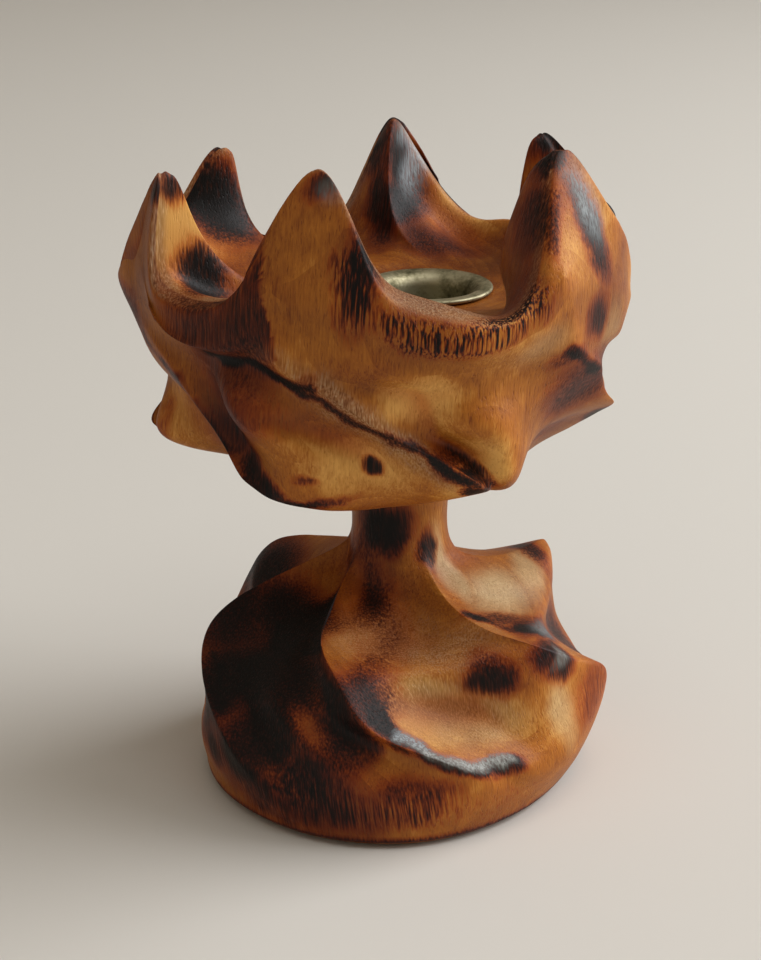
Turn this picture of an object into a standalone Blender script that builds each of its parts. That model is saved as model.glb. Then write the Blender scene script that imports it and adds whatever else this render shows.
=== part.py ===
"""A hand-carved wooden candlestick with a crown-shaped bowl and a drop-in metal candle cup.

The two wooden pieces are free-form carvings. Each is a cage of rings: a ring is a row of
points going once round the piece, and the points of neighbouring rings are joined into
quads. A Subdivision Surface rounds the cage, and creased columns keep the carved ridges.

Axes: +Z up, the carving's front faces -Y, and the origin is on the stem's axis where the
felt pad touches the table. Azimuths are in degrees from the front, positive to the right.
"""

import math

import bmesh
import bpy

MM = 0.001
GAP = 0.3            # clearance between neighbouring pieces, mm

# Driving dimensions, mm
JOINT_HEIGHT = 80.0  # the glue joint between pedestal and crown
NECK_RADIUS = 13.0
FLOOR_HEIGHT = 130.4  # the flat ring in the bowl that the cup's lip rests on
CUP_RADIUS = 12.0    # outside of the cup's tube
CUP_WALL = 1.0
CUP_DEPTH = 26.0     # from the bowl's floor to the underside of the cup
LIP_RADIUS = 16.5
LIP_THICKNESS = 1.2
DOWEL_RADIUS = 5.0
DOWEL_LENGTH = 28.0
PAD_THICKNESS = 2.0
PAD_INSET = 1.0      # how far the pad sits up inside the foot
PAD_RADIUS = 38.0

CUP_CENTRE = (7.0, 1.5)  # the socket is a little off the stem's axis
COLUMNS_PER_TOOTH = 5
SOCKET_START = -70.0  # azimuth of the first column at the socket
NECK_START = -30.0    # azimuth of the crown's first column at the neck
STEM_START = -92.0    # azimuth of the pedestal's first column at the neck
SMOOTH_LEVELS = 1


# ---------------------------------------------------------------- the crown's six teeth
# A tooth's ridge starts at the tip, leaves the rim a little to the left of it, drops to
# the ledge, and then winds down to the right until it ends in a rounded lobe.
# Each point is (azimuth, radius, height).

CROWN_RIDGES = {
    "left": [(-70, 62, 166), (-80, 65.5, 150), (-80, 67, 139), (-77, 65.5, 127),
             (-66, 62, 119), (-57, 59, 110), (-49, 56, 101), (-40, 53, 92)],
    "front": [(-23.5, 51.5, 171.5), (-34, 58.5, 147.5), (-31, 58.5, 139), (-30, 59.5, 127.5),
              (-16.5, 58, 120.5), (-5, 56, 112), (9.5, 54.5, 104), (22, 53, 94.5)],
    "right": [(52, 46, 171), (41, 57, 149.5), (44, 58, 139), (46, 58, 128),
              (58, 56.5, 121), (68, 54, 113), (77, 54, 106), (88, 50, 98)],
    "back_right": [(120, 44, 167), (108, 56, 150), (110, 58, 139), (112, 57, 127),
                   (124, 56, 120), (136, 55, 112), (148, 54, 104), (156, 51, 96)],
    "back": [(183, 50, 164), (172, 57, 149), (174, 58, 138), (176, 58, 126),
             (188, 57, 119), (200, 56, 111), (212, 55, 103), (220, 52, 95)],
    "back_left": [(235, 57, 161), (226, 64, 148), (228, 65, 137), (230, 62, 126),
                  (241, 60, 119), (252, 59, 110), (262, 61, 101), (270, 60, 93)],
}

# Between one ridge and the next stand four columns. Each entry is how far round the
# column stands from this ridge to the next, how far it is pushed out, and how far it is
# lifted, both measured from the straight line between the two ridges.
CROWN_VALLEYS = [
    [(.20, 5, -20), (.34, 7, -30), (.52, 9, -33), (.74, 9, -29)],        # rim
    [(.34, 0, -7), (.49, 1, -14), (.68, 2, -17), (.88, 1, -12)],         # under the rim
    [(.29, 0, -5), (.45, 1, -9), (.64, 1.5, -10), (.84, 1, -8)],         # upper wall
    [(.32, -3, -2), (.47, -4.5, -3), (.63, -4, -3), (.83, -4, -2)],      # ledge
    [(.25, -4, 0), (.36, -2, -1), (.54, 0, -2), (.79, -3.5, -3)],        # slope
    [(.185, -4, -2), (.28, 1, 0), (.43, 2, 0), (.72, -5, -2)],           # shoulder
    [(.13, -3.5, -1), (.21, 1.5, 0), (.34, 0, -1), (.62, -8, -1)],       # lobe
    [(.045, -2, -.5), (.10, -1, -1), (.22, -4, 0), (.55, -12, 3)],       # lobe's end
]

# The sanded rim, column by column: how far its inner edge is inside and above its outer edge.
RIM_SECTION = [(3.5, -.7), (5, 0), (6.5, 2.5), (6.5, 2), (4.5, -.8)]

# The radius of each tooth's inner face at a third of its height, in the ridges' order.
TOOTH_WALLS = [46, 38, 30, 34.5, 38, 46]

# Where a valley is carved differently: (ridge it follows, row) and its four columns.
CROWN_CHANGES = {
    ("right", 0): [(.16, 8, -10), (.34, 11.5, -21), (.56, 12.5, -32), (.80, 10, -27)],
    ("right", 1): [(.34, 0, -6), (.49, 1, -12), (.68, 1.5, -17), (.88, 0, -12)],
    ("right", 2): [(.29, -.5, -3), (.45, 0, -6), (.64, 0, -9), (.84, 0, -8)],
    ("right", 3): [(.32, -1, -2), (.47, -1, -3), (.63, -1.5, -3), (.83, -2, -2)],
    ("right", 4): [(.25, -3, 0), (.36, -3, -1), (.54, -3.5, -2), (.79, -4.5, -3)],
    ("right", 5): [(.185, -4, -2), (.28, -3.5, 0), (.43, -4.5, 0), (.72, -6, -2)],
    ("right", 6): [(.13, -1.5, -1), (.23, -1, -1), (.38, -3, -1), (.64, -8, -1)],
    ("right", 7): [(.10, -.5, -.5), (.24, -2, -.5), (.42, -7, 1), (.68, -11, 3)],
    ("front", 2): [(.29, -.5, -5), (.45, -.8, -9), (.64, -.5, -10), (.84, 0, -8)],
    ("front", 3): [(.32, -1.5, -2), (.47, -2.2, -3), (.63, -2.5, -3), (.83, -3, -2)],
    ("front", 4): [(.25, -4, 0), (.36, -2.5, -1), (.54, -1.5, -2), (.79, -3.5, -3)],
    ("back_right", 0): [(.20, 6, -22), (.38, 8, -28), (.62, 8, -27.5), (.86, 6, -9.5)],
    ("left", 0): [(.06, 4.5, -19.5), (.15, 4, -30), (.42, 4, -31.5), (.70, 3.5, -22)],
    ("left", 1): [(.16, 1, -9), (.36, 2, -17.5), (.60, 1, -18.5), (.84, .8, -11)],
    ("left", 2): [(.24, .5, -5), (.41, 1, -10.5), (.61, 0, -12), (.84, 0, -9.5)],
    ("left", 7): [(.12, -1, -3), (.34, -3, -4), (.58, -7, -4), (.82, -6, -3)],
    ("left", 6): [(.13, -2, -1), (.30, 0, -1), (.52, -2, -1), (.78, -4, -3)],
    ("back_left", 0): [(.20, 5, -14), (.36, 7, -20), (.56, 7, -24), (.80, 5, -25)],
    ("back_left", 1): [(.34, 0, -6), (.49, 2, -10), (.66, 4, -13), (.86, 5, -12)],
    ("back_left", 2): [(.29, 0, -3), (.45, 1, -6), (.62, 3, -7), (.84, 4, -6)],
    ("back_left", 3): [(.32, -2, -2), (.47, -2, -3), (.63, 0, -3), (.83, 2, -2)],
    ("back_left", 4): [(.25, -3, 0), (.36, 0, -1), (.54, 2, -2), (.79, 1, -3)],
    ("back_left", 5): [(.185, -4, -2), (.28, -1, 0), (.43, 0, 0), (.72, -4, -2)],
}

# ---------------------------------------------------------------- the pedestal's six ridges
# Each ridge comes down the stem, runs out over the shoulder and winds round to the right
# until it dies away in the foot. Points are (azimuth, radius, height) again.

PEDESTAL_RIDGES = {
    "left": [(-92, 12.8, 70), (-88, 14.5, 63), (-86, 26, 57), (-85, 42, 49),
             (-80, 52.5, 39), (-60, 56.5, 28), (-43, 56.5, 15), (-30, 53, 1)],
    "front": [(-42, 12.8, 70), (-56, 15, 60), (-43, 27, 51), (-29, 41, 48),
              (-17, 49.5, 42), (-5, 53.5, 31.5), (20, 54, 20), (32, 48.5, 1)],
    "right": [(26, 12.8, 70), (28, 15, 61), (30, 25.5, 54.5), (37, 39, 50.5),
              (50, 48, 46), (64, 52.5, 38.5), (80, 56, 26), (92, 49, 1)],
    "back_right": [(86, 12.8, 70), (92, 16, 60), (108, 31, 55.5), (122, 46, 53.5),
                   (128, 51, 48), (138, 52, 36), (148, 52, 20), (150, 46, 1)],
    "back": [(147, 12.8, 70), (150, 15, 60), (165, 27, 55), (178, 41, 51),
             (188, 49, 43), (196, 52, 32), (204, 53, 18), (209, 47, 1)],
    "back_left": [(208, 12.8, 70), (212, 15, 60), (220, 31, 55), (229, 45, 51.5),
                  (236, 50, 43), (244, 52.5, 32), (256, 54.5, 17), (269, 52, 1)],
}

PEDESTAL_VALLEYS = [
    [(.20, 0, 0), (.40, 0, 0), (.60, 0, 0), (.80, 0, 0)],                  # stem
    [(.20, -1, 0), (.42, -1, 0), (.60, -1, 0), (.81, -.5, 0)],             # stem's end
    [(.20, -6.5, 0), (.42, -8.5, .5), (.65, -8.5, .5), (.85, -6, .5)],     # flare
    [(.18, -7, -2.5), (.38, -12.5, -3), (.62, -12.5, -3), (.83, -7.5, -1.5)],  # hollow
    [(.18, -8.5, 0), (.37, -10, -1.5), (.63, -8, -1.5), (.87, -3, 0)],      # cross ridge
    [(.16, -9, .5), (.32, -11.5, -1), (.51, -10, -2), (.72, -3, -4)],      # lower hollow
    [(.12, -2.5, -.5), (.25, -1.5, -1.5), (.40, -1.5, -3), (.62, -.5, -2)],  # hollow's lip
    [(.20, 0, 0), (.40, 0, 0), (.60, 0, 0), (.80, 0, 0)],                  # foot
]

PEDESTAL_CHANGES = {
    ("left", 7): [(.20, .8, 0), (.40, 1.2, 0), (.60, 1.2, 0), (.80, .6, 0)],
    ("front", 7): [(.20, -1.2, 0), (.40, -2, 0), (.60, -2, 0), (.80, -1.2, 0)],
    ("front", 5): [(.16, -10, -.5), (.32, -13, -2.5), (.51, -11.5, -4.5), (.72, -4, -7.5)],
    ("front", 6): [(.12, -2.5, -1), (.25, -1.5, -3), (.42, -1.5, -5), (.63, -1, -5)],
    ("left", 3): [(.15, -3, -3), (.40, -9, -3), (.65, -10, -3), (.87, -6, -3)],
    ("left", 4): [(.15, -3, -3), (.36, -7, -3), (.60, -7, -2), (.86, -4, -4)],
    ("left", 5): [(.16, -5, .5), (.34, -5, 0), (.54, -2.5, 0), (.78, -5.5, -.5)],
    ("left", 6): [(.14, -2, 0), (.34, -1.5, -1), (.56, -1, -1), (.80, -1, -1.5)],
    ("right", 2): [(.20, -6, 0), (.42, -6, .5), (.65, -5, 0), (.85, -3, 0)],
    ("right", 3): [(.16, -7, -1), (.38, -10, -2), (.62, -8, -1.5), (.84, -3, -.5)],
    ("back_left", 4): [(.18, -5, 0), (.38, -9, -3), (.62, -9, -3), (.86, -5, -2)],
    ("back_left", 3): [(.18, -5, -1), (.38, -12, -3), (.62, -13, -2), (.83, -7, -1)],
}


def polar(azimuth, radius, height, centre=(0, 0)):
    """A point in mm from an azimuth in degrees, a radius and a height, about a centre."""
    turn = math.radians(azimuth)
    return (centre[0] + radius * math.sin(turn), centre[1] - radius * math.cos(turn), height)


def mix(low, high, amount):
    return low + (high - low) * amount


def even_ring(count, radius, height, start=0.0, centre=(0, 0)):
    return [polar(start + 360.0 * index / count, radius, height, centre) for index in range(count)]


def polar_ring(points, centre=(0, 0)):
    return [polar(*point, centre) for point in points]


def carved_rings(ridges, valleys, changes):
    """Rings of ridge points with the valley columns between each two ridges filled in."""
    names = list(ridges)
    rings = []
    for row, valley in enumerate(valleys):
        ring = []
        for index, name in enumerate(names):
            here = ridges[name][row]
            there = ridges[names[(index + 1) % len(names)]][row]
            ahead = there[0] if there[0] > here[0] else there[0] + 360
            ring.append(here)
            for share, out, lift in changes.get((name, row), valley):
                ring.append((mix(here[0], ahead, share),
                             mix(here[1], there[1], share) + out,
                             mix(here[2], there[2], share) + lift))
        rings.append(ring)
    return rings


def crown_rings():
    """Rings from the top of the dowel hole, over the outside and the rim, to the socket."""
    outer = carved_rings(CROWN_RIDGES, CROWN_VALLEYS, CROWN_CHANGES)
    count = len(outer[0])
    step = 360.0 / count
    edge, wall, slope, under = [], [], [], []
    for index, (azimuth, radius, height) in enumerate(outer[0]):
        thickness, lift = RIM_SECTION[index % COLUMNS_PER_TOOTH]
        even = SOCKET_START + step * index
        drop = height - FLOOR_HEIGHT
        edge.append((azimuth, radius - thickness, height + lift))
        if index % COLUMNS_PER_TOOTH == 0:
            wall.append((azimuth, TOOTH_WALLS[index // COLUMNS_PER_TOOTH], FLOOR_HEIGHT + drop * .32))
        else:
            wall.append((azimuth, min(45, (radius - thickness) * .88), FLOOR_HEIGHT + drop * .5))
        slope.append((mix(azimuth, even, .4), 28, FLOOR_HEIGHT + 1.5))
    for index, (azimuth, radius, height) in enumerate(outer[-1]):
        under.append((mix(azimuth, NECK_START + step * index, .5), 31, 88))
    bottom = JOINT_HEIGHT + GAP
    hole = DOWEL_RADIUS + GAP
    socket = CUP_RADIUS + GAP
    rings = [even_ring(count, hole, bottom + DOWEL_LENGTH / 2, NECK_START),
             even_ring(count, hole, bottom, NECK_START),
             even_ring(count, NECK_RADIUS, bottom, NECK_START),
             even_ring(count, NECK_RADIUS + .3, bottom + 2.5, NECK_START),
             polar_ring(under)]
    rings += [polar_ring(ring) for ring in outer[::-1]]
    rings += [polar_ring(edge), polar_ring(wall), polar_ring(slope, CUP_CENTRE)]
    for radius, height in ((22, FLOOR_HEIGHT), (socket, FLOOR_HEIGHT),
                           (socket, FLOOR_HEIGHT - CUP_DEPTH - GAP)):
        rings.append(even_ring(count, radius, height, SOCKET_START, CUP_CENTRE))
    return rings


# ---------------------------------------------------------------- building
def clear_scene():
    for thing in list(bpy.data.objects):
        bpy.data.objects.remove(thing, do_unlink=True)


def material(name, colour, roughness, metallic=0.0):
    finish = bpy.data.materials.new(name)
    finish.use_nodes = True
    shader = finish.node_tree.nodes["Principled BSDF"]
    shader.inputs["Base Color"].default_value = (*colour, 1.0)
    shader.inputs["Roughness"].default_value = roughness
    shader.inputs["Metallic"].default_value = metallic
    return finish


def cage_object(name, rings, finish, ring_creases, column_creases):
    """A closed cage from rings of points in mm, smoothed and creased."""
    count = len(rings[0])
    mesh = bmesh.new()
    rows = [[mesh.verts.new([value * MM for value in point]) for point in ring] for ring in rings]
    for low, high in zip(rows, rows[1:]):
        for index in range(count):
            after = (index + 1) % count
            mesh.faces.new((low[index], low[after], high[after], high[index]))
    mesh.faces.new(rows[0][::-1])
    mesh.faces.new(rows[-1])
    crease = mesh.edges.layers.float.new("crease_edge")
    for row, strength in ring_creases.items():
        for index in range(count):
            edge = mesh.edges.get((rows[row][index], rows[row][(index + 1) % count]))
            edge[crease] = strength
    for column, first, last, strength in column_creases:
        for row in range(first, last):
            edge = mesh.edges.get((rows[row][column], rows[row + 1][column]))
            edge[crease] = max(edge[crease], strength)
    bmesh.ops.recalc_face_normals(mesh, faces=mesh.faces)
    data = bpy.data.meshes.new(name)
    mesh.to_mesh(data)
    mesh.free()
    data.materials.append(finish)
    data.shade_smooth()
    carving = bpy.data.objects.new(name, data)
    bpy.context.scene.collection.objects.link(carving)
    smooth = carving.modifiers.new("rounding", "SUBSURF")
    smooth.levels = SMOOTH_LEVELS
    smooth.render_levels = SMOOTH_LEVELS
    pass_through_cage(carving)
    return carving


def pass_through_cage(carving, rounds=4):
    """Push the cage outwards until the rounded surface runs through the stated points."""
    stated = [vertex.co.copy() for vertex in carving.data.vertices]
    for _ in range(rounds):
        bpy.context.view_layer.update()
        rounded = carving.evaluated_get(bpy.context.evaluated_depsgraph_get()).data
        reached = [rounded.vertices[index].co.copy() for index in range(len(stated))]
        for vertex, goal, now in zip(carving.data.vertices, stated, reached):
            vertex.co += goal - now
    carving.data.update()


def build_crown(finish):
    rings = crown_rings()
    tooth_columns = range(0, len(rings[0]), COLUMNS_PER_TOOTH)
    columns = []
    for column in tooth_columns:
        columns.append((column, 5, 11, .55))
        columns.append((column, 13, 15, .45))
        columns.append((column + 1, 6, 9, .35))
    last = len(rings) - 1
    edges = {0: 1, 1: 1, 2: 1, 12: .35, 13: .3, last: 1, last - 1: 1}
    return cage_object("crown", rings, finish, edges, columns)


def pedestal_rings():
    """Rings from the pad's recess, over the foot and up the stem, to the dowel hole."""
    outer = carved_rings(PEDESTAL_RIDGES, PEDESTAL_VALLEYS, PEDESTAL_CHANGES)
    count = len(outer[0])
    hole = DOWEL_RADIUS + GAP
    recess = PAD_RADIUS + GAP
    foot_height = PAD_THICKNESS - PAD_INSET
    foot_start = outer[-1][0][0]
    rings = [even_ring(count, recess, PAD_THICKNESS + GAP, foot_start),
             even_ring(count, recess, foot_height, foot_start),
             polar_ring([(azimuth, radius - 1.5, foot_height) for azimuth, radius, height in outer[-1]]),
             polar_ring([(azimuth, radius, height + 1.5) for azimuth, radius, height in outer[-1]])]
    rings += [polar_ring(ring) for ring in outer[-2::-1]]
    for radius, height in ((NECK_RADIUS, JOINT_HEIGHT), (hole, JOINT_HEIGHT),
                           (hole, JOINT_HEIGHT - DOWEL_LENGTH / 2)):
        rings.append(even_ring(count, radius, height, STEM_START))
    return rings


def build_pedestal(finish):
    rings = pedestal_rings()
    columns = []
    for column in range(0, len(rings[0]), COLUMNS_PER_TOOTH):
        columns.append((column, 4, 9, .5))
    last = len(rings) - 1
    edges = {0: 1, 1: 1, 2: 1, 3: .8, last - 2: 1, last - 1: 1, last: 1}
    return cage_object("pedestal", rings, finish, edges, columns)


def turned(name, profile, finish, steps, centre=(0, 0)):
    """A solid turned about a vertical axis from a profile of (radius, height)."""
    mesh = bmesh.new()
    points = [mesh.verts.new((radius * MM, 0, height * MM)) for radius, height in profile]
    line = [mesh.edges.new(pair) for pair in zip(points, points[1:])]
    bmesh.ops.spin(mesh, geom=points + line, cent=(0, 0, 0), axis=(0, 0, 1),
                   angle=math.tau, steps=steps, use_merge=True, use_duplicate=False)
    bmesh.ops.remove_doubles(mesh, verts=mesh.verts, dist=0.00001)
    bmesh.ops.recalc_face_normals(mesh, faces=mesh.faces)
    data = bpy.data.meshes.new(name)
    mesh.to_mesh(data)
    mesh.free()
    data.materials.append(finish)
    data.shade_smooth()
    data.set_sharp_from_angle(angle=math.radians(35))
    solid = bpy.data.objects.new(name, data)
    solid.location = (centre[0] * MM, centre[1] * MM, 0)
    bpy.context.scene.collection.objects.link(solid)
    return solid


def build_dowel(finish):
    middle = JOINT_HEIGHT + GAP / 2
    half = DOWEL_LENGTH / 2 - 1.0
    tip = DOWEL_RADIUS - 1.0
    profile = [(0, middle - half), (tip, middle - half), (DOWEL_RADIUS, middle - half + 1),
               (DOWEL_RADIUS, middle + half - 1), (tip, middle + half), (0, middle + half)]
    return turned("joint_dowel", profile, finish, 24)


def build_candle_cup(finish):
    rest = FLOOR_HEIGHT + GAP
    bottom = FLOOR_HEIGHT - CUP_DEPTH
    bore = CUP_RADIUS - CUP_WALL
    profile = [(0, bottom), (CUP_RADIUS, bottom), (CUP_RADIUS, rest), (LIP_RADIUS, rest),
               (LIP_RADIUS, rest + LIP_THICKNESS), (LIP_RADIUS - 2.5, rest + LIP_THICKNESS),
               (bore, rest - 3), (bore, bottom + CUP_WALL), (0, bottom + CUP_WALL)]
    return turned("candle_cup", profile, finish, 24, CUP_CENTRE)


def build_felt_pad(finish):
    profile = [(0, 0), (PAD_RADIUS - .4, 0), (PAD_RADIUS, .4), (PAD_RADIUS, PAD_THICKNESS),
               (0, PAD_THICKNESS)]
    return turned("felt_pad", profile, finish, 48)


clear_scene()
build_crown(material("waxed_crown_wood", (.45, .22, .08), .45))
build_pedestal(material("waxed_pedestal_wood", (.38, .18, .07), .4))
build_dowel(material("dowel_beech", (.65, .48, .3), .6))
build_candle_cup(material("aged_brass", (.45, .47, .33), .4, 1.0))
build_felt_pad(material("brown_felt", (.09, .06, .04), .95))
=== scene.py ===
# %% [markdown]
# # A carved and charred wooden candlestick
#
# This lesson builds the looks of a hand-carved candlestick around a model that already fixes
# its size. That model, the frame, knows where every piece sits and how the brass cup lifts
# out. It is loaded first and never moved or reshaped: pieces made here take its place, and
# each one rides on the frame's body that carries it. The box round the frame is kept, so that
# the finished model can be compared with it at the end.

# %% Load the frame
import math

import bmesh
import bpy
import numpy as np
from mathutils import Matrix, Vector, noise


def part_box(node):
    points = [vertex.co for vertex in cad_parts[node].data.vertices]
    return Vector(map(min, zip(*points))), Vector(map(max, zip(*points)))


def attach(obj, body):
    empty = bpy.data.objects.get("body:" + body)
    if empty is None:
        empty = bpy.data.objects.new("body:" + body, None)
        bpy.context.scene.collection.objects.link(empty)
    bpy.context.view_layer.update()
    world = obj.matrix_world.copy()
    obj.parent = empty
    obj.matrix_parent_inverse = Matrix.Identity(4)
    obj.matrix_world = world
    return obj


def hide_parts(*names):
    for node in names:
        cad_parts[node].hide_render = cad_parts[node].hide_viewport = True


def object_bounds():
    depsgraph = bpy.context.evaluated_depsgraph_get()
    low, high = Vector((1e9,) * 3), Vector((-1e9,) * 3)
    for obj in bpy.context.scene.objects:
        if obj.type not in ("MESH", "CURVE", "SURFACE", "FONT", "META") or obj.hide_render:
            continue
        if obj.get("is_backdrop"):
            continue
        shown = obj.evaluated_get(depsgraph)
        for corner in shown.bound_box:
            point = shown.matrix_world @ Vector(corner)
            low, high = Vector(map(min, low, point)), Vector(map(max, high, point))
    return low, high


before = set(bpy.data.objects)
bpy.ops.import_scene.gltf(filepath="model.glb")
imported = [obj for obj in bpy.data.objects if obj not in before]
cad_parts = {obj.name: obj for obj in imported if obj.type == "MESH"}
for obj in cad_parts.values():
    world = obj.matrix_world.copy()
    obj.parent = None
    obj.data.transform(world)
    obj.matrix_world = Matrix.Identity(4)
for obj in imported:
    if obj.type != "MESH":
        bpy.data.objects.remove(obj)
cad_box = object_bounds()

MM = 0.001


def millimetres(node):
    """A node's lowest and highest corners in millimetres."""
    low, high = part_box(node)
    return [value / MM for value in low], [value / MM for value in high]


def linear(hex_colour):
    """An sRGB colour such as "#AD733C" as the linear colour that a shader expects."""
    parts = [int(hex_colour[start:start + 2], 16) / 255 for start in (1, 3, 5)]
    parts = [part / 12.92 if part <= 0.04045 else ((part + 0.055) / 1.055) ** 2.4 for part in parts]
    return (*parts, 1.0)


# %% Two helpers for meshes
def skin(mesh, rows):
    """Quads between each row of points and the next, all the way round."""
    for lower, upper in zip(rows, rows[1:]):
        for index in range(len(lower)):
            after = (index + 1) % len(lower)
            mesh.faces.new((lower[index], lower[after], upper[after], upper[index]))


def place(name, mesh, finish):
    """An object in the scene from a bmesh and its material."""
    data = bpy.data.meshes.new(name)
    mesh.to_mesh(data)
    mesh.free()
    data.materials.append(finish)
    made = bpy.data.objects.new(name, data)
    bpy.context.scene.collection.objects.link(made)
    print("made", name, "with", len(data.polygons), "faces")
    return made


# %% [markdown]
# ## The studio
#
# The candlestick stands on a plain pale floor that curves up all round, like a wide bowl. A
# big window-like lamp on the right, a little behind, gives the wax its long soft highlights
# and throws the shadow to the left, as daylight from the side does. A lamp above lifts the
# bowl and the rim, and a weak one on the left keeps the char from going dead black. The
# camera looks down about twenty degrees.

# %% Floor
def studio_material():
    """Matt painted board, the pale floor."""
    board = bpy.data.materials.new("pale_painted_board")
    board.use_nodes = True
    shader = board.node_tree.nodes["Principled BSDF"]
    shader.inputs["Base Color"].default_value = linear("#D6D3CC")
    shader.inputs["Roughness"].default_value = 0.9
    return board


def studio_bowl(flat=3.2, bend_radius=1.6, wall=2.0, sides=96, bend_steps=16):
    """A round floor, in metres, that curves up all the way round to a wall."""
    profile = [(flat, 0.0)]
    for step in range(1, bend_steps + 1):
        turn = math.radians(90 * step / bend_steps)
        profile.append((flat + bend_radius * math.sin(turn), bend_radius * (1 - math.cos(turn))))
    profile.append((flat + bend_radius, bend_radius + wall))
    mesh = bmesh.new()
    rows = []
    for radius, height in profile:
        turns = [math.tau * side / sides for side in range(sides)]
        rows.append([mesh.verts.new((radius * math.cos(turn), radius * math.sin(turn), height))
                     for turn in turns])
    skin(mesh, rows[::-1])
    for face in mesh.faces:
        face.smooth = True
    mesh.faces.new(rows[0])
    return place("studio_bowl", mesh, studio_material())


studio_bowl()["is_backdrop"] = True


# %% Lamps and camera
LAMP_TARGET = Vector((0, 0, 0.1))   # metres; about the middle of the candlestick


def softbox(name, azimuth, elevation, distance, size, power, colour):
    """A square area lamp that looks at the middle of the candlestick."""
    lamp = bpy.data.lights.new(name, "AREA")
    lamp.size = size
    lamp.energy = power
    lamp.color = linear(colour)[:3]
    turn = math.radians(azimuth)
    lift = math.radians(elevation)
    offset = Vector((math.sin(turn) * math.cos(lift), -math.cos(turn) * math.cos(lift), math.sin(lift)))
    stand = bpy.data.objects.new(name, lamp)
    stand.location = LAMP_TARGET + offset * distance
    stand.rotation_euler = (-offset).to_track_quat("-Z", "Y").to_euler()
    bpy.context.scene.collection.objects.link(stand)
    return stand


softbox("window_lamp", azimuth=100, elevation=30, distance=2.2, size=1.9, power=64, colour="#FBFCFF")
softbox("top_lamp", azimuth=30, elevation=68, distance=1.3, size=0.9, power=3.5, colour="#FFFFFF")
softbox("left_fill", azimuth=-40, elevation=20, distance=2.1, size=1.5, power=1.8, colour="#FFF6E8")

world = bpy.data.worlds.new("pale_room")
world.use_nodes = True
world.node_tree.nodes["Background"].inputs["Color"].default_value = linear("#F3E4CF")
world.node_tree.nodes["Background"].inputs["Strength"].default_value = 0.34
bpy.context.scene.world = world
bpy.context.scene.view_settings.view_transform = "Standard"

lens = bpy.data.cameras.new("front_camera")
lens.lens = 81
lens.sensor_width = 36
camera = bpy.data.objects.new("front_camera", lens)
camera.location = (-0.005, -0.528, 0.275)
camera.rotation_euler = (math.radians(69.7), 0, 0)
bpy.context.scene.collection.objects.link(camera)
bpy.context.scene.camera = camera
print("camera at", tuple(round(value, 3) for value in camera.location))

# %% [markdown]
# ## Driving sizes
#
# The frame settles the sizes that have to fit: how high the neck joint is, and where the cup,
# the dowel and the pad sit. They are read from the nodes' boxes. Only the neck's radius, the
# clearances and the wall thicknesses, which a box can't tell, are written here, in mm.

# %% Read the sizes from the frame
GAP = 0.3                 # clearance between neighbouring pieces
NECK_RADIUS = 13.0
LIP_THICKNESS = 1.2
CUP_WALL = 1.0
LIP_OVERHANG = 4.5        # how far the lip reaches past the cup's tube
PAD_INSET = 1.0           # how far the pad sits up inside the foot
GLUE_ROOM = 1.0           # how much deeper each hole is than the dowel's half

cup_low, cup_high = millimetres("candle_cup")
dowel_low, dowel_high = millimetres("joint_dowel")
pad_low, pad_high = millimetres("felt_pad")
JOINT_HEIGHT = millimetres("pedestal")[1][2]
CUP_CENTRE = ((cup_low[0] + cup_high[0]) / 2, (cup_low[1] + cup_high[1]) / 2)
LIP_RADIUS = (cup_high[0] - cup_low[0]) / 2
CUP_RADIUS = LIP_RADIUS - LIP_OVERHANG
FLOOR_HEIGHT = cup_high[2] - LIP_THICKNESS - GAP
CUP_BOTTOM = cup_low[2]
DOWEL_RADIUS = (dowel_high[0] - dowel_low[0]) / 2
HOLE_DEPTH = (dowel_high[2] - dowel_low[2]) / 2 + GLUE_ROOM
PAD_RADIUS = (pad_high[0] - pad_low[0]) / 2
PAD_THICKNESS = pad_high[2] - pad_low[2]
print(f"neck joint {JOINT_HEIGHT:.1f} mm up, bowl floor {FLOOR_HEIGHT:.1f} mm up,",
      f"lip {2 * LIP_RADIUS:.1f} mm wide")

# %% [markdown]
# ## How the carving is described
#
# A carver would saw the block to a rough crown, cut the gullets between the teeth, and then
# follow each tooth's edge down with a gouge, so that it becomes a ridge winding round the
# bowl. The mesh is made the same way round. A cage of rings lies on the wood, with one column
# of points on every ridge and four in the valley between two ridges. Each ring's points join
# the next ring's in quads. Subdivision rounds the cage, and creased columns keep the ridges
# crisp. A cage needs few points, so every one of them can be placed with a reason.

# %% Rings of points
def polar(azimuth, radius, height, centre=(0, 0)):
    """A point in mm from an azimuth in degrees, a radius and a height, about a centre."""
    turn = math.radians(azimuth)
    return (centre[0] + radius * math.sin(turn), centre[1] - radius * math.cos(turn), height)


def mix(low, high, amount):
    return low + (high - low) * amount


def even_ring(count, radius, height, start=0.0, centre=(0, 0)):
    return [polar(start + 360.0 * index / count, radius, height, centre) for index in range(count)]


def polar_ring(points, centre=(0, 0)):
    return [polar(*point, centre) for point in points]


def carved_rings(ridges, valleys, changes):
    """Rings of ridge points with the valley columns between each two ridges filled in."""
    names = list(ridges)
    rings = []
    for row, valley in enumerate(valleys):
        ring = []
        for index, name in enumerate(names):
            here = ridges[name][row]
            there = ridges[names[(index + 1) % len(names)]][row]
            ahead = there[0] if there[0] > here[0] else there[0] + 360
            ring.append(here)
            for share, out, lift in changes.get((name, row), valley):
                ring.append((mix(here[0], ahead, share),
                             mix(here[1], there[1], share) + out,
                             mix(here[2], there[2], share) + lift))
        rings.append(ring)
    return rings


TEETH = 6
COLUMNS_PER_TOOTH = 5
print("a ring has", TEETH * COLUMNS_PER_TOOTH, "columns")

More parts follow.
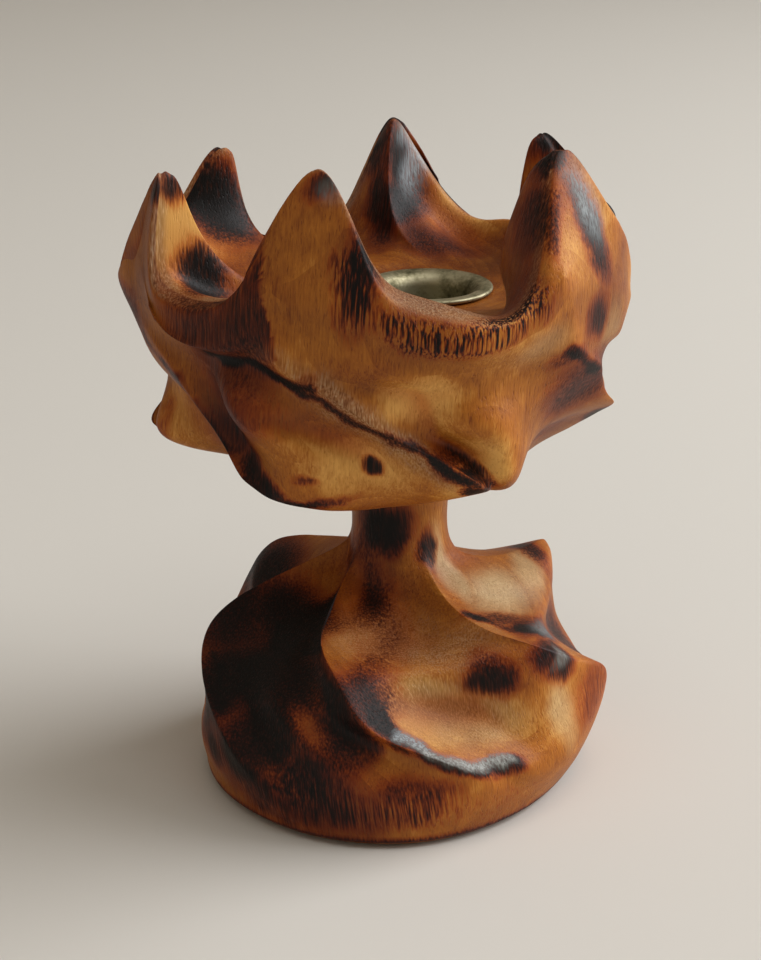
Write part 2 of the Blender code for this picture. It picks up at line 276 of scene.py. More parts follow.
# %% [markdown]
# ## From cage to wood
#
# Subdivision pulls a surface inside its cage, which would thin the teeth. So the cage is
# pushed outwards a few times, until the rounded surface runs through the points as they were
# stated. Each corner also stores its column and its row as UVs. Those coordinates stay with
# the surface when it is subdivided, so later steps can tell the outside, the rim and the
# inside apart anywhere on the dense mesh.

# %% Subdivide and keep the carving grid
FINE_LEVELS = 4
FITTING_ROUNDS = 4        # how often the cage is pushed out to meet the stated points


def carve(name, rings, ring_creases, column_creases):
    """A dense closed mesh object from rings of points in mm."""
    count = len(rings[0])
    cage = bmesh.new()
    grid = cage.loops.layers.uv.new("carving_grid")
    rows = [[cage.verts.new([value * MM for value in point]) for point in ring] for ring in rings]
    for row, (low, high) in enumerate(zip(rows, rows[1:])):
        for column in range(count):
            after = (column + 1) % count
            face = cage.faces.new((low[column], low[after], high[after], high[column]))
            for loop, across, up in zip(face.loops, (0, 1, 1, 0), (0, 0, 1, 1)):
                loop[grid].uv = ((column + across) / count, (row + up) / len(rings))
    for ends, row in ((rows[0][::-1], 0), (rows[-1], len(rings) - 1)):
        for loop in cage.faces.new(ends).loops:
            loop[grid].uv = (0.5, row / len(rings))
    crease = cage.edges.layers.float.new("crease_edge")
    for row, strength in ring_creases.items():
        for column in range(count):
            edge = cage.edges.get((rows[row][column], rows[row][(column + 1) % count]))
            edge[crease] = strength
    for column, first, last, strength in column_creases:
        for row in range(first, last):
            edge = cage.edges.get((rows[row][column], rows[row + 1][column]))
            edge[crease] = max(edge[crease], strength)
    bmesh.ops.recalc_face_normals(cage, faces=cage.faces)
    data = bpy.data.meshes.new(name + "_cage")
    cage.to_mesh(data)
    cage.free()
    carving = bpy.data.objects.new(name, data)
    bpy.context.scene.collection.objects.link(carving)
    smooth = carving.modifiers.new("rounding", "SUBSURF")
    smooth.uv_smooth = "NONE"
    smooth.levels = 1
    stated = [vertex.co.copy() for vertex in data.vertices]
    for _ in range(FITTING_ROUNDS):
        bpy.context.view_layer.update()
        rounded = carving.evaluated_get(bpy.context.evaluated_depsgraph_get()).data
        reached = [rounded.vertices[index].co.copy() for index in range(len(stated))]
        for vertex, goal, now in zip(data.vertices, stated, reached):
            vertex.co += goal - now
    smooth.levels = FINE_LEVELS
    bpy.context.view_layer.update()
    evaluated = carving.evaluated_get(bpy.context.evaluated_depsgraph_get())
    dense = bpy.data.meshes.new_from_object(evaluated)
    carving.modifiers.clear()
    carving.data = dense
    dense.name = name
    dense.shade_smooth()
    print(name, "has", len(dense.polygons), "faces")
    return carving


# %% [markdown]
# ## The crown
#
# Each ridge is eight points of azimuth, radius and height. It starts at a tooth's tip, leaves
# the rim a little to the left of it, drops to a ledge and winds down to the right until it
# ends in a rounded lobe. A valley column says how far round it stands between two ridges, how
# far it is pushed out and how far it is lifted from the straight line between them. No two
# gullets of a hand-cut crown are alike, so some valleys have rows of their own.

# %% The crown's ridges and valleys
CROWN_RIDGES = {
    "left": [(-70, 62, 166), (-80, 65.5, 150), (-80, 67, 139), (-77, 65.5, 127),
             (-66, 62, 119), (-57, 59, 110), (-49, 56, 101), (-40, 53, 92)],
    "front": [(-23.5, 51.5, 171.5), (-34, 58.5, 147.5), (-31, 58.5, 139), (-30, 59.5, 127.5),
              (-16.5, 58, 120.5), (-5, 56, 112), (9.5, 54.5, 104), (22, 53, 94.5)],
    "right": [(52, 46, 171), (41, 57, 149.5), (44, 58, 139), (46, 58, 128),
              (58, 56.5, 121), (68, 54, 113), (77, 54, 106), (88, 50, 98)],
    "back_right": [(120, 44, 167), (108, 56, 150), (110, 58, 139), (112, 57, 127),
                   (124, 56, 120), (136, 55, 112), (148, 54, 104), (156, 51, 96)],
    "back": [(183, 50, 164), (172, 57, 149), (174, 58, 138), (176, 58, 126),
             (188, 57, 119), (200, 56, 111), (212, 55, 103), (220, 52, 95)],
    "back_left": [(235, 57, 161), (226, 64, 148), (228, 65, 137), (230, 62, 126),
                  (241, 60, 119), (252, 59, 110), (262, 61, 101), (270, 60, 93)],
}

# Between one ridge and the next stand four columns. Each entry is how far round the
# column stands from this ridge to the next, how far it is pushed out, and how far it is
# lifted, both measured from the straight line between the two ridges.
CROWN_VALLEYS = [
    [(.20, 5, -20), (.34, 7, -30), (.52, 9, -33), (.74, 9, -29)],        # rim
    [(.34, 0, -7), (.49, 1, -14), (.68, 2, -17), (.88, 1, -12)],         # under the rim
    [(.29, 0, -5), (.45, 1, -9), (.64, 1.5, -10), (.84, 1, -8)],         # upper wall
    [(.32, -3, -2), (.47, -4.5, -3), (.63, -4, -3), (.83, -4, -2)],      # ledge
    [(.25, -4, 0), (.36, -2, -1), (.54, 0, -2), (.79, -3.5, -3)],        # slope
    [(.185, -4, -2), (.28, 1, 0), (.43, 2, 0), (.72, -5, -2)],           # shoulder
    [(.13, -3.5, -1), (.21, 1.5, 0), (.34, 0, -1), (.62, -8, -1)],       # lobe
    [(.045, -2, -.5), (.10, -1, -1), (.22, -4, 0), (.55, -12, 3)],       # lobe's end
]

# The sanded rim, column by column: how far its inner edge is inside and above its outer edge.
RIM_SECTION = [(3.5, -.7), (5, 0), (6.5, 2.5), (6.5, 2), (4.5, -.8)]

# The radius of each tooth's inner face at a third of its height, in the ridges' order.
TOOTH_WALLS = [46, 38, 30, 34.5, 38, 46]

# Where a valley is carved differently: (ridge it follows, row) and its four columns.
CROWN_CHANGES = {
    ("right", 0): [(.16, 8, -10), (.34, 11.5, -21), (.56, 12.5, -32), (.80, 10, -27)],
    ("right", 1): [(.34, 0, -6), (.49, 1, -12), (.68, 1.5, -17), (.88, 0, -12)],
    ("right", 2): [(.29, -.5, -3), (.45, 0, -6), (.64, 0, -9), (.84, 0, -8)],
    ("right", 3): [(.32, -1, -2), (.47, -1, -3), (.63, -1.5, -3), (.83, -2, -2)],
    ("right", 4): [(.25, -3, 0), (.36, -3, -1), (.54, -3.5, -2), (.79, -4.5, -3)],
    ("right", 5): [(.185, -4, -2), (.28, -3.5, 0), (.43, -4.5, 0), (.72, -6, -2)],
    ("right", 6): [(.13, -1.5, -1), (.23, -1, -1), (.38, -3, -1), (.64, -8, -1)],
    ("right", 7): [(.10, -.5, -.5), (.24, -2, -.5), (.42, -7, 1), (.68, -11, 3)],
    ("front", 2): [(.29, -.5, -5), (.45, -.8, -9), (.64, -.5, -10), (.84, 0, -8)],
    ("front", 3): [(.32, -1.5, -2), (.47, -2.2, -3), (.63, -2.5, -3), (.83, -3, -2)],
    ("front", 4): [(.25, -4, 0), (.36, -2.5, -1), (.54, -1.5, -2), (.79, -3.5, -3)],
    ("back_right", 0): [(.20, 6, -22), (.38, 8, -28), (.62, 8, -27.5), (.86, 6, -9.5)],
    ("left", 0): [(.06, 4.5, -19.5), (.15, 4, -30), (.42, 4, -31.5), (.70, 3.5, -22)],
    ("left", 1): [(.16, 1, -9), (.36, 2, -17.5), (.60, 1, -18.5), (.84, .8, -11)],
    ("left", 2): [(.24, .5, -5), (.41, 1, -10.5), (.61, 0, -12), (.84, 0, -9.5)],
    ("left", 7): [(.12, -1, -3), (.34, -3, -4), (.58, -7, -4), (.82, -6, -3)],
    ("left", 6): [(.13, -2, -1), (.30, 0, -1), (.52, -2, -1), (.78, -4, -3)],
    ("back_left", 0): [(.20, 5, -14), (.36, 7, -20), (.56, 7, -24), (.80, 5, -25)],
    ("back_left", 1): [(.34, 0, -6), (.49, 2, -10), (.66, 4, -13), (.86, 5, -12)],
    ("back_left", 2): [(.29, 0, -3), (.45, 1, -6), (.62, 3, -7), (.84, 4, -6)],
    ("back_left", 3): [(.32, -2, -2), (.47, -2, -3), (.63, 0, -3), (.83, 2, -2)],
    ("back_left", 4): [(.25, -3, 0), (.36, 0, -1), (.54, 2, -2), (.79, 1, -3)],
    ("back_left", 5): [(.185, -4, -2), (.28, -1, 0), (.43, 0, 0), (.72, -4, -2)],
}

print("crown ridges:", ", ".join(CROWN_RIDGES))

# %% The crown's rings
SOCKET_START = -70.0      # azimuth of the first column at the cup's socket
NECK_START = -30.0        # azimuth of the crown's first column at the neck
UNDERSIDE = (31, 88)      # radius and height, in mm, half-way from the neck to the lobes
SLOPE_RADIUS = 28         # where the bowl's inner wall runs out into its floor
SEAT_RADIUS = 22          # the flat floor that the cup's lip rests on


def crown_rings():
    """Rings from the top of the dowel hole, over the outside and the rim, to the socket."""
    outer = carved_rings(CROWN_RIDGES, CROWN_VALLEYS, CROWN_CHANGES)
    count = len(outer[0])
    step = 360.0 / count
    edge, wall, slope, under = [], [], [], []
    for index, (azimuth, radius, height) in enumerate(outer[0]):
        thickness, lift = RIM_SECTION[index % COLUMNS_PER_TOOTH]
        even = SOCKET_START + step * index
        drop = height - FLOOR_HEIGHT
        edge.append((azimuth, radius - thickness, height + lift))
        if index % COLUMNS_PER_TOOTH == 0:
            wall.append((azimuth, TOOTH_WALLS[index // COLUMNS_PER_TOOTH], FLOOR_HEIGHT + drop * .32))
        else:
            wall.append((azimuth, min(45, (radius - thickness) * .88), FLOOR_HEIGHT + drop * .5))
        slope.append((mix(azimuth, even, .4), SLOPE_RADIUS, FLOOR_HEIGHT + 1.5))
    for index, lobe_point in enumerate(outer[-1]):
        under.append((mix(lobe_point[0], NECK_START + step * index, .5), *UNDERSIDE))
    bottom = JOINT_HEIGHT + GAP
    hole = DOWEL_RADIUS + GAP
    socket = CUP_RADIUS + GAP
    rings = [even_ring(count, hole, bottom + HOLE_DEPTH, NECK_START),
             even_ring(count, hole, bottom, NECK_START),
             even_ring(count, NECK_RADIUS, bottom, NECK_START),
             even_ring(count, NECK_RADIUS + .3, bottom + 2.5, NECK_START),
             polar_ring(under)]
    rings += [polar_ring(ring) for ring in outer[::-1]]
    rings += [polar_ring(edge), polar_ring(wall), polar_ring(slope, CUP_CENTRE)]
    for radius, height in ((SEAT_RADIUS, FLOOR_HEIGHT), (socket, FLOOR_HEIGHT),
                           (socket, CUP_BOTTOM - GAP)):
        rings.append(even_ring(count, radius, height, SOCKET_START, CUP_CENTRE))
    return rings


# %% Carve the crown
LOBE_RING = 5             # the first ring of the outside, at the lobes' ends
OUTER_RIM_RING = 12       # the last ring of the outside
INNER_RIM_RING = 13


def carve_crown():
    """The crown, with sharp ridges, softer teeth and true edges at its holes."""
    rings = crown_rings()
    columns = []
    for column in range(0, len(rings[0]), COLUMNS_PER_TOOTH):
        columns.append((column, LOBE_RING, OUTER_RIM_RING - 1, .68))
        columns.append((column, INNER_RIM_RING, INNER_RIM_RING + 2, .55))
        columns.append((column + 1, LOBE_RING + 1, LOBE_RING + 4, .35))
    last = len(rings) - 1
    edges = {0: 1, 1: 1, 2: 1, OUTER_RIM_RING: .35, INNER_RIM_RING: .3, last: 1, last - 1: 1}
    return carve("carved_crown", rings, edges, columns)


crown = carve_crown()

# %% [markdown]
# ## The pedestal
#
# The pedestal is carved in the same way. Its ridges come down the stem, run out over the
# shoulder and wind to the right until they die away in the foot, with deep hollows between
# them. The stem's top is the round face that is glued to the crown's neck.

# %% The pedestal's ridges and valleys
PEDESTAL_RIDGES = {
    "left": [(-92, 12.8, 70), (-88, 14.5, 63), (-86, 26, 57), (-85, 42, 49),
             (-80, 52.5, 39), (-60, 56.5, 28), (-43, 56.5, 15), (-30, 53, 1)],
    "front": [(-42, 12.8, 70), (-56, 15, 60), (-43, 27, 51), (-29, 41, 48),
              (-17, 49.5, 42), (-5, 53.5, 31.5), (20, 54, 20), (32, 48.5, 1)],
    "right": [(26, 12.8, 70), (28, 15, 61), (30, 25.5, 54.5), (37, 39, 50.5),
              (50, 48, 46), (64, 52.5, 38.5), (80, 56, 26), (92, 49, 1)],
    "back_right": [(86, 12.8, 70), (92, 16, 60), (108, 31, 55.5), (122, 46, 53.5),
                   (128, 51, 48), (138, 52, 36), (148, 52, 20), (150, 46, 1)],
    "back": [(147, 12.8, 70), (150, 15, 60), (165, 27, 55), (178, 41, 51),
             (188, 49, 43), (196, 52, 32), (204, 53, 18), (209, 47, 1)],
    "back_left": [(208, 12.8, 70), (212, 15, 60), (220, 31, 55), (229, 45, 51.5),
                  (236, 50, 43), (244, 52.5, 32), (256, 54.5, 17), (269, 52, 1)],
}

PEDESTAL_VALLEYS = [
    [(.20, 0, 0), (.40, 0, 0), (.60, 0, 0), (.80, 0, 0)],                  # stem
    [(.20, -1, 0), (.42, -1, 0), (.60, -1, 0), (.81, -.5, 0)],             # stem's end
    [(.20, -6.5, 0), (.42, -8.5, .5), (.65, -8.5, .5), (.85, -6, .5)],     # flare
    [(.18, -7, -2.5), (.38, -12.5, -3), (.62, -12.5, -3), (.83, -7.5, -1.5)],  # hollow
    [(.18, -8.5, 0), (.37, -10, -1.5), (.63, -8, -1.5), (.87, -3, 0)],      # cross ridge
    [(.16, -9, .5), (.32, -11.5, -1), (.51, -10, -2), (.72, -3, -4)],      # lower hollow
    [(.12, -2.5, -.5), (.25, -1.5, -1.5), (.40, -1.5, -3), (.62, -.5, -2)],  # hollow's lip
    [(.20, 0, 0), (.40, 0, 0), (.60, 0, 0), (.80, 0, 0)],                  # foot
]

PEDESTAL_CHANGES = {
    ("left", 7): [(.20, .8, 0), (.40, 1.2, 0), (.60, 1.2, 0), (.80, .6, 0)],
    ("front", 7): [(.20, -1.2, 0), (.40, -2, 0), (.60, -2, 0), (.80, -1.2, 0)],
    ("front", 5): [(.16, -10, -.5), (.32, -13, -2.5), (.51, -11.5, -4.5), (.72, -4, -7.5)],
    ("front", 6): [(.12, -2.5, -1), (.25, -1.5, -3), (.42, -1.5, -5), (.63, -1, -5)],
    ("left", 3): [(.15, -3, -3), (.40, -9, -3), (.65, -10, -3), (.87, -6, -3)],
    ("left", 4): [(.15, -3, -3), (.36, -7, -3), (.60, -7, -2), (.86, -4, -4)],
    ("left", 5): [(.16, -5, .5), (.34, -5, 0), (.54, -2.5, 0), (.78, -5.5, -.5)],
    ("left", 6): [(.14, -2, 0), (.34, -1.5, -1), (.56, -1, -1), (.80, -1, -1.5)],
    ("right", 2): [(.20, -6, 0), (.42, -6, .5), (.65, -5, 0), (.85, -3, 0)],
    ("right", 3): [(.16, -7, -1), (.38, -10, -2), (.62, -8, -1.5), (.84, -3, -.5)],
    ("back_left", 4): [(.18, -5, 0), (.38, -9, -3), (.62, -9, -3), (.86, -5, -2)],
    ("back_left", 3): [(.18, -5, -1), (.38, -12, -3), (.62, -13, -2), (.83, -7, -1)],
}

print("pedestal ridges:", ", ".join(PEDESTAL_RIDGES))

# %% The pedestal's rings
STEM_START = -92.0        # azimuth of the pedestal's first column at the neck
FOOT_BEVEL = 1.5          # mm; the small bevel between the foot's side and its underside


def pedestal_rings():
    """Rings from the pad's recess, over the foot and up the stem, to the dowel hole."""
    outer = carved_rings(PEDESTAL_RIDGES, PEDESTAL_VALLEYS, PEDESTAL_CHANGES)
    count = len(outer[0])
    hole = DOWEL_RADIUS + GAP
    recess = PAD_RADIUS + GAP
    foot_height = PAD_THICKNESS - PAD_INSET
    foot_start = outer[-1][0][0]
    rings = [even_ring(count, recess, PAD_THICKNESS + GAP, foot_start),
             even_ring(count, recess, foot_height, foot_start),
             polar_ring([(point[0], point[1] - FOOT_BEVEL, foot_height) for point in outer[-1]]),
             polar_ring([(point[0], point[1], point[2] + FOOT_BEVEL) for point in outer[-1]])]
    rings += [polar_ring(ring) for ring in outer[-2::-1]]
    for radius, height in ((NECK_RADIUS, JOINT_HEIGHT), (hole, JOINT_HEIGHT),
                           (hole, JOINT_HEIGHT - HOLE_DEPTH)):
        rings.append(even_ring(count, radius, height, STEM_START))
    return rings


# %% Carve the pedestal
def carve_pedestal():
    """The pedestal, with its ridges sharp from above the foot to the top of the flare."""
    rings = pedestal_rings()
    columns = [(column, 4, 9, .65) for column in range(0, len(rings[0]), COLUMNS_PER_TOOTH)]
    last = len(rings) - 1
    edges = {0: 1, 1: 1, 2: 1, 3: .8, last - 2: 1, last - 1: 1, last: 1}
    return carve("carved_pedestal", rings, edges, columns)


pedestal = carve_pedestal()

# %% [markdown]
# ## Tool marks
#
# Wood that was shaped with burrs and gouges and then sanded by hand is never quite even. A
# slow ripple and a finer one are pressed into the faces, always inwards, so that the piece
# doesn't grow. The faces that meet other pieces stay true: the neck joint, the dowel's hole,
# the cup's socket and the pad's recess. This could be a displacement modifier, but here the
# rows of the carving grid say where the hand-worked faces are.

# %% Read a dense surface and ripple it
def surface_of(carving, rows):
    """The dense mesh as arrays: points in mm, normals, and each point's row in the cage."""
    data = carving.data
    points = np.empty(len(data.vertices) * 3)
    data.vertices.foreach_get("co", points)
    normals = np.empty(len(data.vertices) * 3)
    data.vertices.foreach_get("normal", normals)
    corners = np.empty(len(data.loops), int)
    data.loops.foreach_get("vertex_index", corners)
    grid = np.empty(len(data.loops) * 2)
    data.uv_layers["carving_grid"].data.foreach_get("uv", grid)
    row = np.zeros(len(data.vertices))
    row[corners] = grid[1::2] * rows
    return {"points": points.reshape(-1, 3) / MM, "normals": normals.reshape(-1, 3), "row": row}


def ramp(values, low, high):
    """A smooth step from 0 at low to 1 at high."""
    share = np.clip((values - low) / (high - low), 0, 1)
    return share * share * (3 - 2 * share)


def wobble(points, size):
    """Smooth noise from -1 to 1 whose lumps are about size mm across."""
    return np.array([noise.noise(Vector(point) / size) for point in points])


SLOW_RIPPLE = (0.22, 14)  # half its depth and its size, in mm
FINE_RIPPLE = (0.07, 5)


def press_ripples(carving, node, rows, first, last):
    """Presses tool marks into the rows from first to last, and keeps the node's box."""
    surface = surface_of(carving, rows)
    worked = ramp(surface["row"], first, first + 1) * (1 - ramp(surface["row"], last - 1, last))
    depth = sum(half * (1 + wobble(surface["points"], size)) for half, size in (SLOW_RIPPLE, FINE_RIPPLE))
    points = surface["points"] - surface["normals"] * (depth * worked)[:, None]
    low, high = millimetres(node)
    points = np.clip(points, low, high)
    carving.data.vertices.foreach_set("co", (points * MM).ravel())
    carving.data.update()
    print(carving.name, "ripples are up to", round(float((depth * worked).max()), 2), "mm deep")


CROWN_ROWS = 19           # rings in the crown's cage
PEDESTAL_ROWS = 14        # rings in the pedestal's cage
RIM_ROW = 12.5            # the crown's outside ends and its inside starts here
press_ripples(crown, "crown", CROWN_ROWS, 3, 16)
press_ripples(pedestal, "pedestal", PEDESTAL_ROWS, 3, 11)

# %% [markdown]
# ## Where the torch went
#
# The maker burned the piece with a small torch, rubbed it back and waxed it. So the colour
# follows the shape: tips, ledges and grooves are black, broad faces are honey, and sanded
# edges show pale end grain. Light and shade are painted in as well: creases and faces that
# look to the left, away from the lamp, get painted shade along with their char, some broad
# patches of tone are partly painted light and shade, and a blue-grey painted reflection of
# the window lies on the glossiest char. A texture could hold all this, but then it would
# belong to one unwrapping. Here each vertex gets a few numbers, called attributes, and the
# material reads them: the burn and painted shade, streaks, the painted sheen, sanded, pale,
# tone and hollow. A mark is an oval on the surface: azimuth, radius and height of its middle,
# its half width and half height in mm, its tilt in degrees and its strength. A line is a path
# with a width and a strength. Noise bends them all, as a flame never leaves a true oval.

# %% Ovals and lines on a surface
OTHER_SIDE = 1000         # mm; puts the points of the wrong side out of reach


MARK_SEED = 7             # without a seed, the vector noise would differ on every run
noise.seed_set(MARK_SEED)


def bend(points):
    """How far each point is moved, in mm, before it is measured against a mark."""
    slow = np.array([noise.noise_vector(Vector(point) / 9) for point in points])
    quick = np.array([noise.noise_vector(Vector(point) / 3) for point in points])
    return 2.0 * slow + 0.8 * quick


def tangents(normal, azimuth):
    """The directions to the right and upwards on a face, seen from outside the piece."""
    turn = math.radians(azimuth)
    right = np.array([math.cos(turn), math.sin(turn), 0])
    right = right - normal * (right @ normal)
    right = right / np.linalg.norm(right)
    upward = np.cross(normal, right)
    return right, upward if upward[2] > 0 else -upward


def fade(far):
    """A mark's strength, from 1 well inside its outline, where far is 1, to 0 well outside."""
    return 1 - ramp(far, 0.3, 1.7)


def ovals(surface, marks, side):
    """How strongly a list of oval marks covers each point of one side, from 0 to 1."""
    cover = np.zeros(len(side))
    away = np.where(side, 0, OTHER_SIDE)
    for azimuth, radius, height, wide, tall, tilt, strength in marks:
        gaps = surface["points"] - np.array(polar(azimuth, radius, height))
        middle = np.argmin(np.linalg.norm(gaps, axis=1) + away)
        normal = surface["normals"][middle]
        right, upward = tangents(normal, azimuth)
        turn = math.radians(tilt)
        along = (right * math.cos(turn) + upward * math.sin(turn)) / wide
        across = (upward * math.cos(turn) - right * math.sin(turn)) / tall
        through = normal / (1.3 * max(wide, tall) + 3)
        gaps = surface["bent"] - surface["bent"][middle]
        far = np.sqrt((gaps @ along) ** 2 + (gaps @ across) ** 2 + (gaps @ through) ** 2)
        cover = np.maximum(cover, strength * fade(far))
    return cover * side


def lines(surface, paths, side):
    """How strongly a list of lines covers each point of one side, from 0 to 1."""
    cover = np.zeros(len(side))
    for path, width, strength in paths:
        spots = [np.array(polar(*point)) for point in path]
        for start, end in zip(spots, spots[1:]):
            gaps = surface["bent"] - start
            run = end - start
            share = np.clip(gaps @ run / (run @ run), 0, 1)
            far = np.linalg.norm(gaps - share[:, None] * run, axis=1) / width
            cover = np.maximum(cover, strength * fade(far))
    return cover * side


# %% Hollows and fields
RELAXING_ROUNDS = 40   # a finer mesh needs more rounds to flatten


def hollowness(carving, surface):
    """How far each point lies in a crease (above 0) or on a ridge (below 0), in mm."""
    data = carving.data
    ends = np.empty(len(data.edges) * 2, int)
    data.edges.foreach_get("vertices", ends)
    ends = ends.reshape(-1, 2)
    count = len(data.vertices)
    links = np.bincount(ends.ravel(), minlength=count)[:, None]
    relaxed = surface["points"]
    for _ in range(RELAXING_ROUNDS):
        total = np.empty_like(relaxed)
        for axis in range(3):
            first = np.bincount(ends[:, 0], relaxed[ends[:, 1], axis], count)
            total[:, axis] = first + np.bincount(ends[:, 1], relaxed[ends[:, 0], axis], count)
        relaxed = total / links
    return ((relaxed - surface["points"]) * surface["normals"]).sum(axis=1)


def store(carving, name, values):
    """Keeps one number for every vertex under a name that a material can read."""
    field = carving.data.attributes.new(name, "FLOAT", "POINT")
    field.data.foreach_set("value", values.astype(np.float32))


def bare_fields(carving, rows):
    """The surface with the bent points, hollows and left-facing faces that its marks need."""
    surface = surface_of(carving, rows)
    surface["bent"] = surface["points"] + bend(surface["points"])
    surface["hollow"] = hollowness(carving, surface)
    reach = np.linalg.norm(surface["points"][:, :2], axis=1) + .001
    rightward = np.stack([-surface["points"][:, 1], surface["points"][:, 0]], axis=1) / reach[:, None]
    surface["leftward"] = -(surface["normals"][:, :2] * rightward).sum(axis=1)
    return surface


def shaded_side(surface, low, high):
    """The faces that look to the left of their own ridge, away from the lamp; they get painted shade as
    well as burns.
    """
    return ramp(surface["leftward"], low, high)


print("hollows are found in", RELAXING_ROUNDS, "rounds")


# %% [markdown]
# ## The crown's marks
#
# The front teeth come first, then the back ones. Outside marks and inside marks are kept
# apart, because the wall between them is thinner than some marks are wide.

# %% The crown's burns and painted shade on the outside
CROWN_BURNS = [
    (-17, 51, 169, 3, 3.5, 0, .7), (-10.5, 56, 149, 4, 12, -10, .9),              # front tooth
    (-27, 56.5, 122, 5, 2, 0, .6),
    (57, 53, 156, 4, 12, 12, .95), (54.6, 57, 133, 4.5, 5, 0, .75),            # right tooth
    (58, 53.5, 115, 13, 8, 0, .5), (45, 56.5, 125, 5, 2.5, 20, .4), (52, 46, 171, 3, 3.5, 0, .8),
    (15, 54.5, 99, 7, 2.2, -30, 1), (20, 52, 95.5, 4, 2.6, 0, 1),
    (-49, 55, 104.6, 8, 6, 0, .35), (-42, 57, 114, 13, 5, -20, .35),
    (-7.6, 51, 101.6, 2.2, 1.9, 0, 1), (-25, 53.6, 98, 3, 1.2, 0, .5),
    (-38, 54.3, 92.4, 7, 2, -20, .95), (-28, 52, 90.5, 10, 1.5, 0, .9),
    (-66, 62, 161.5, 2.2, 4, 0, .7),                                               # left tooth
    (120, 44, 167, 5, 5, 0, .95), (112, 56, 148, 6, 14, 8, .7), (128, 56, 116, 10, 5, -25, .6),
    (156, 51, 97, 6, 4, 0, .95), (88, 50, 99, 6, 4, 0, .9), (100, 56, 128, 7, 4, -15, .6),
    (183, 50, 163, 4, 5, 0, .9), (178, 57, 143, 8, 12, -12, .65), (196, 56, 112, 12, 5, -28, .6),
    (220, 52, 96, 7, 4, 0, .8), (235, 57, 160, 4, 5, 0, .9), (229, 64, 143, 6, 12, 8, .6),
    (206, 57, 134, 9, 6, 0, .55), (248, 59, 112, 11, 5, -28, .6), (270, 60, 92, 6, 2.5, 0, .6),
    (262, 63, 138, 8, 6, 0, .5), (-85, 66, 128, 8, 5, -20, .5),
]
CROWN_BURN_LINES = [
    ([(-52, 58.5, 125), (-40, 57, 124), (-30, 57, 123), (-22, 57.5, 121)], 1.4, .8),
    ([(-27, 56, 122), (-9, 55, 112), (9, 54, 104), (17, 54, 100)], 1.3, .75),
    ([(44, 57.5, 127), (52, 56, 122), (60, 55, 118)], 1.5, .6),
    ([(108, 57, 126), (126, 54, 117), (146, 52, 104)], 1.8, .7),
    ([(172, 57, 125), (190, 55, 116), (210, 53, 103)], 1.8, .7),
    ([(226, 62, 125), (244, 58, 116), (262, 58, 101)], 1.8, .7),
    ([(-78, 64, 124), (-64, 59, 116), (-50, 55, 101)], 1.6, .6),
]
# Burned and darkened with painted shade on the left of the front tooth's ridge only, so the
# ridge is a sharp border between the shaded face and the lit one.
CROWN_FACET_BURNS_AND_SHADE = [
    (-38, 59, 136, 10, 12, 0, .6), (-33, 59, 146, 4, 8, 0, .6), (-52, 60, 134, 12, 8, 0, .5),
]
# Burns and painted shade, put only where the surface looks to the left, away from the lamp.
CROWN_LEFT_BURNS_AND_SHADE = [
    (36, 54, 162, 5, 12, 0, .6), (104, 56, 150, 8, 14, 0, .5), (168, 57, 146, 8, 14, 0, .5),
    (222, 62, 144, 8, 14, 0, .5),
]
print("the crown's outside has", len(CROWN_BURNS), "burns")

# %% The crown's streaks, inside burns, painted sheen and sanded faces
# A scorch that broke up into separate dark fibres.
CROWN_STREAKS = [
    ([(-3, 59, 139), (3, 59.5, 136), (12, 59.5, 134), (22, 58.5, 136), (32, 57.5, 141)], 4.2, 1),
    ([(-13, 55, 152), (-11, 57, 140)], 4.0, .6),
    ([(100, 57, 138), (112, 58, 134), (126, 57, 139)], 4.0, .8),
    ([(214, 62, 134), (226, 63, 132), (240, 62, 138)], 4.0, .8),
]
CROWN_INSIDE_BURNS = [
    (-67, 52, 141, 7, 6, -20, .9), (-115, 53, 150, 7, 11, 0, 1.1),
    (-178, 48, 156, 4, 9, 0, .85), (-176, 44, 143, 5, 10, 0, .8),
    (162, 35, 134, 9, 4, 0, .4), (166, 38, 136, 5, 3, 0, .25), (43, 47, 160, 7, 10, 0, .6),
    (50, 45, 168, 4, 5, 0, .9), (118, 35, 142, 6, 9, 0, .45), (120, 43, 165, 4, 4, 0, .9),
    (-23, 48, 163, 5, 8, 0, .7), (-68, 58, 162, 4, 4, 0, .8), (75, 44, 146, 8, 4, 0, .5),
]
# A painted blue-grey reflection of the window on the glossy waxed char, outside and inside.
CROWN_PAINTED_SHEEN = [
    (56, 53, 159, 4, 9, 12, .75), (-19, 52, 167, 2.5, 3, 0, .3),
]
CROWN_INSIDE_PAINTED_SHEEN = [
    (169, 48, 158, 4.5, 9, 0, 1), (175, 49, 162, 3, 4, 0, .7),
]
CROWN_SANDED = [
    (-8, 56, 115, 28, 2.6, -31, .62), (160, 55, 110, 20, 2.5, -30, .8),
    (226, 60, 111, 20, 2.5, -30, .8),
]
CROWN_PALE = [
    (36, 57.5, 130, 7, 4, 20, .3), (65, 55, 128, 5, 6, 0, .4),
]
print("the crown's inside has", len(CROWN_INSIDE_BURNS), "burns")
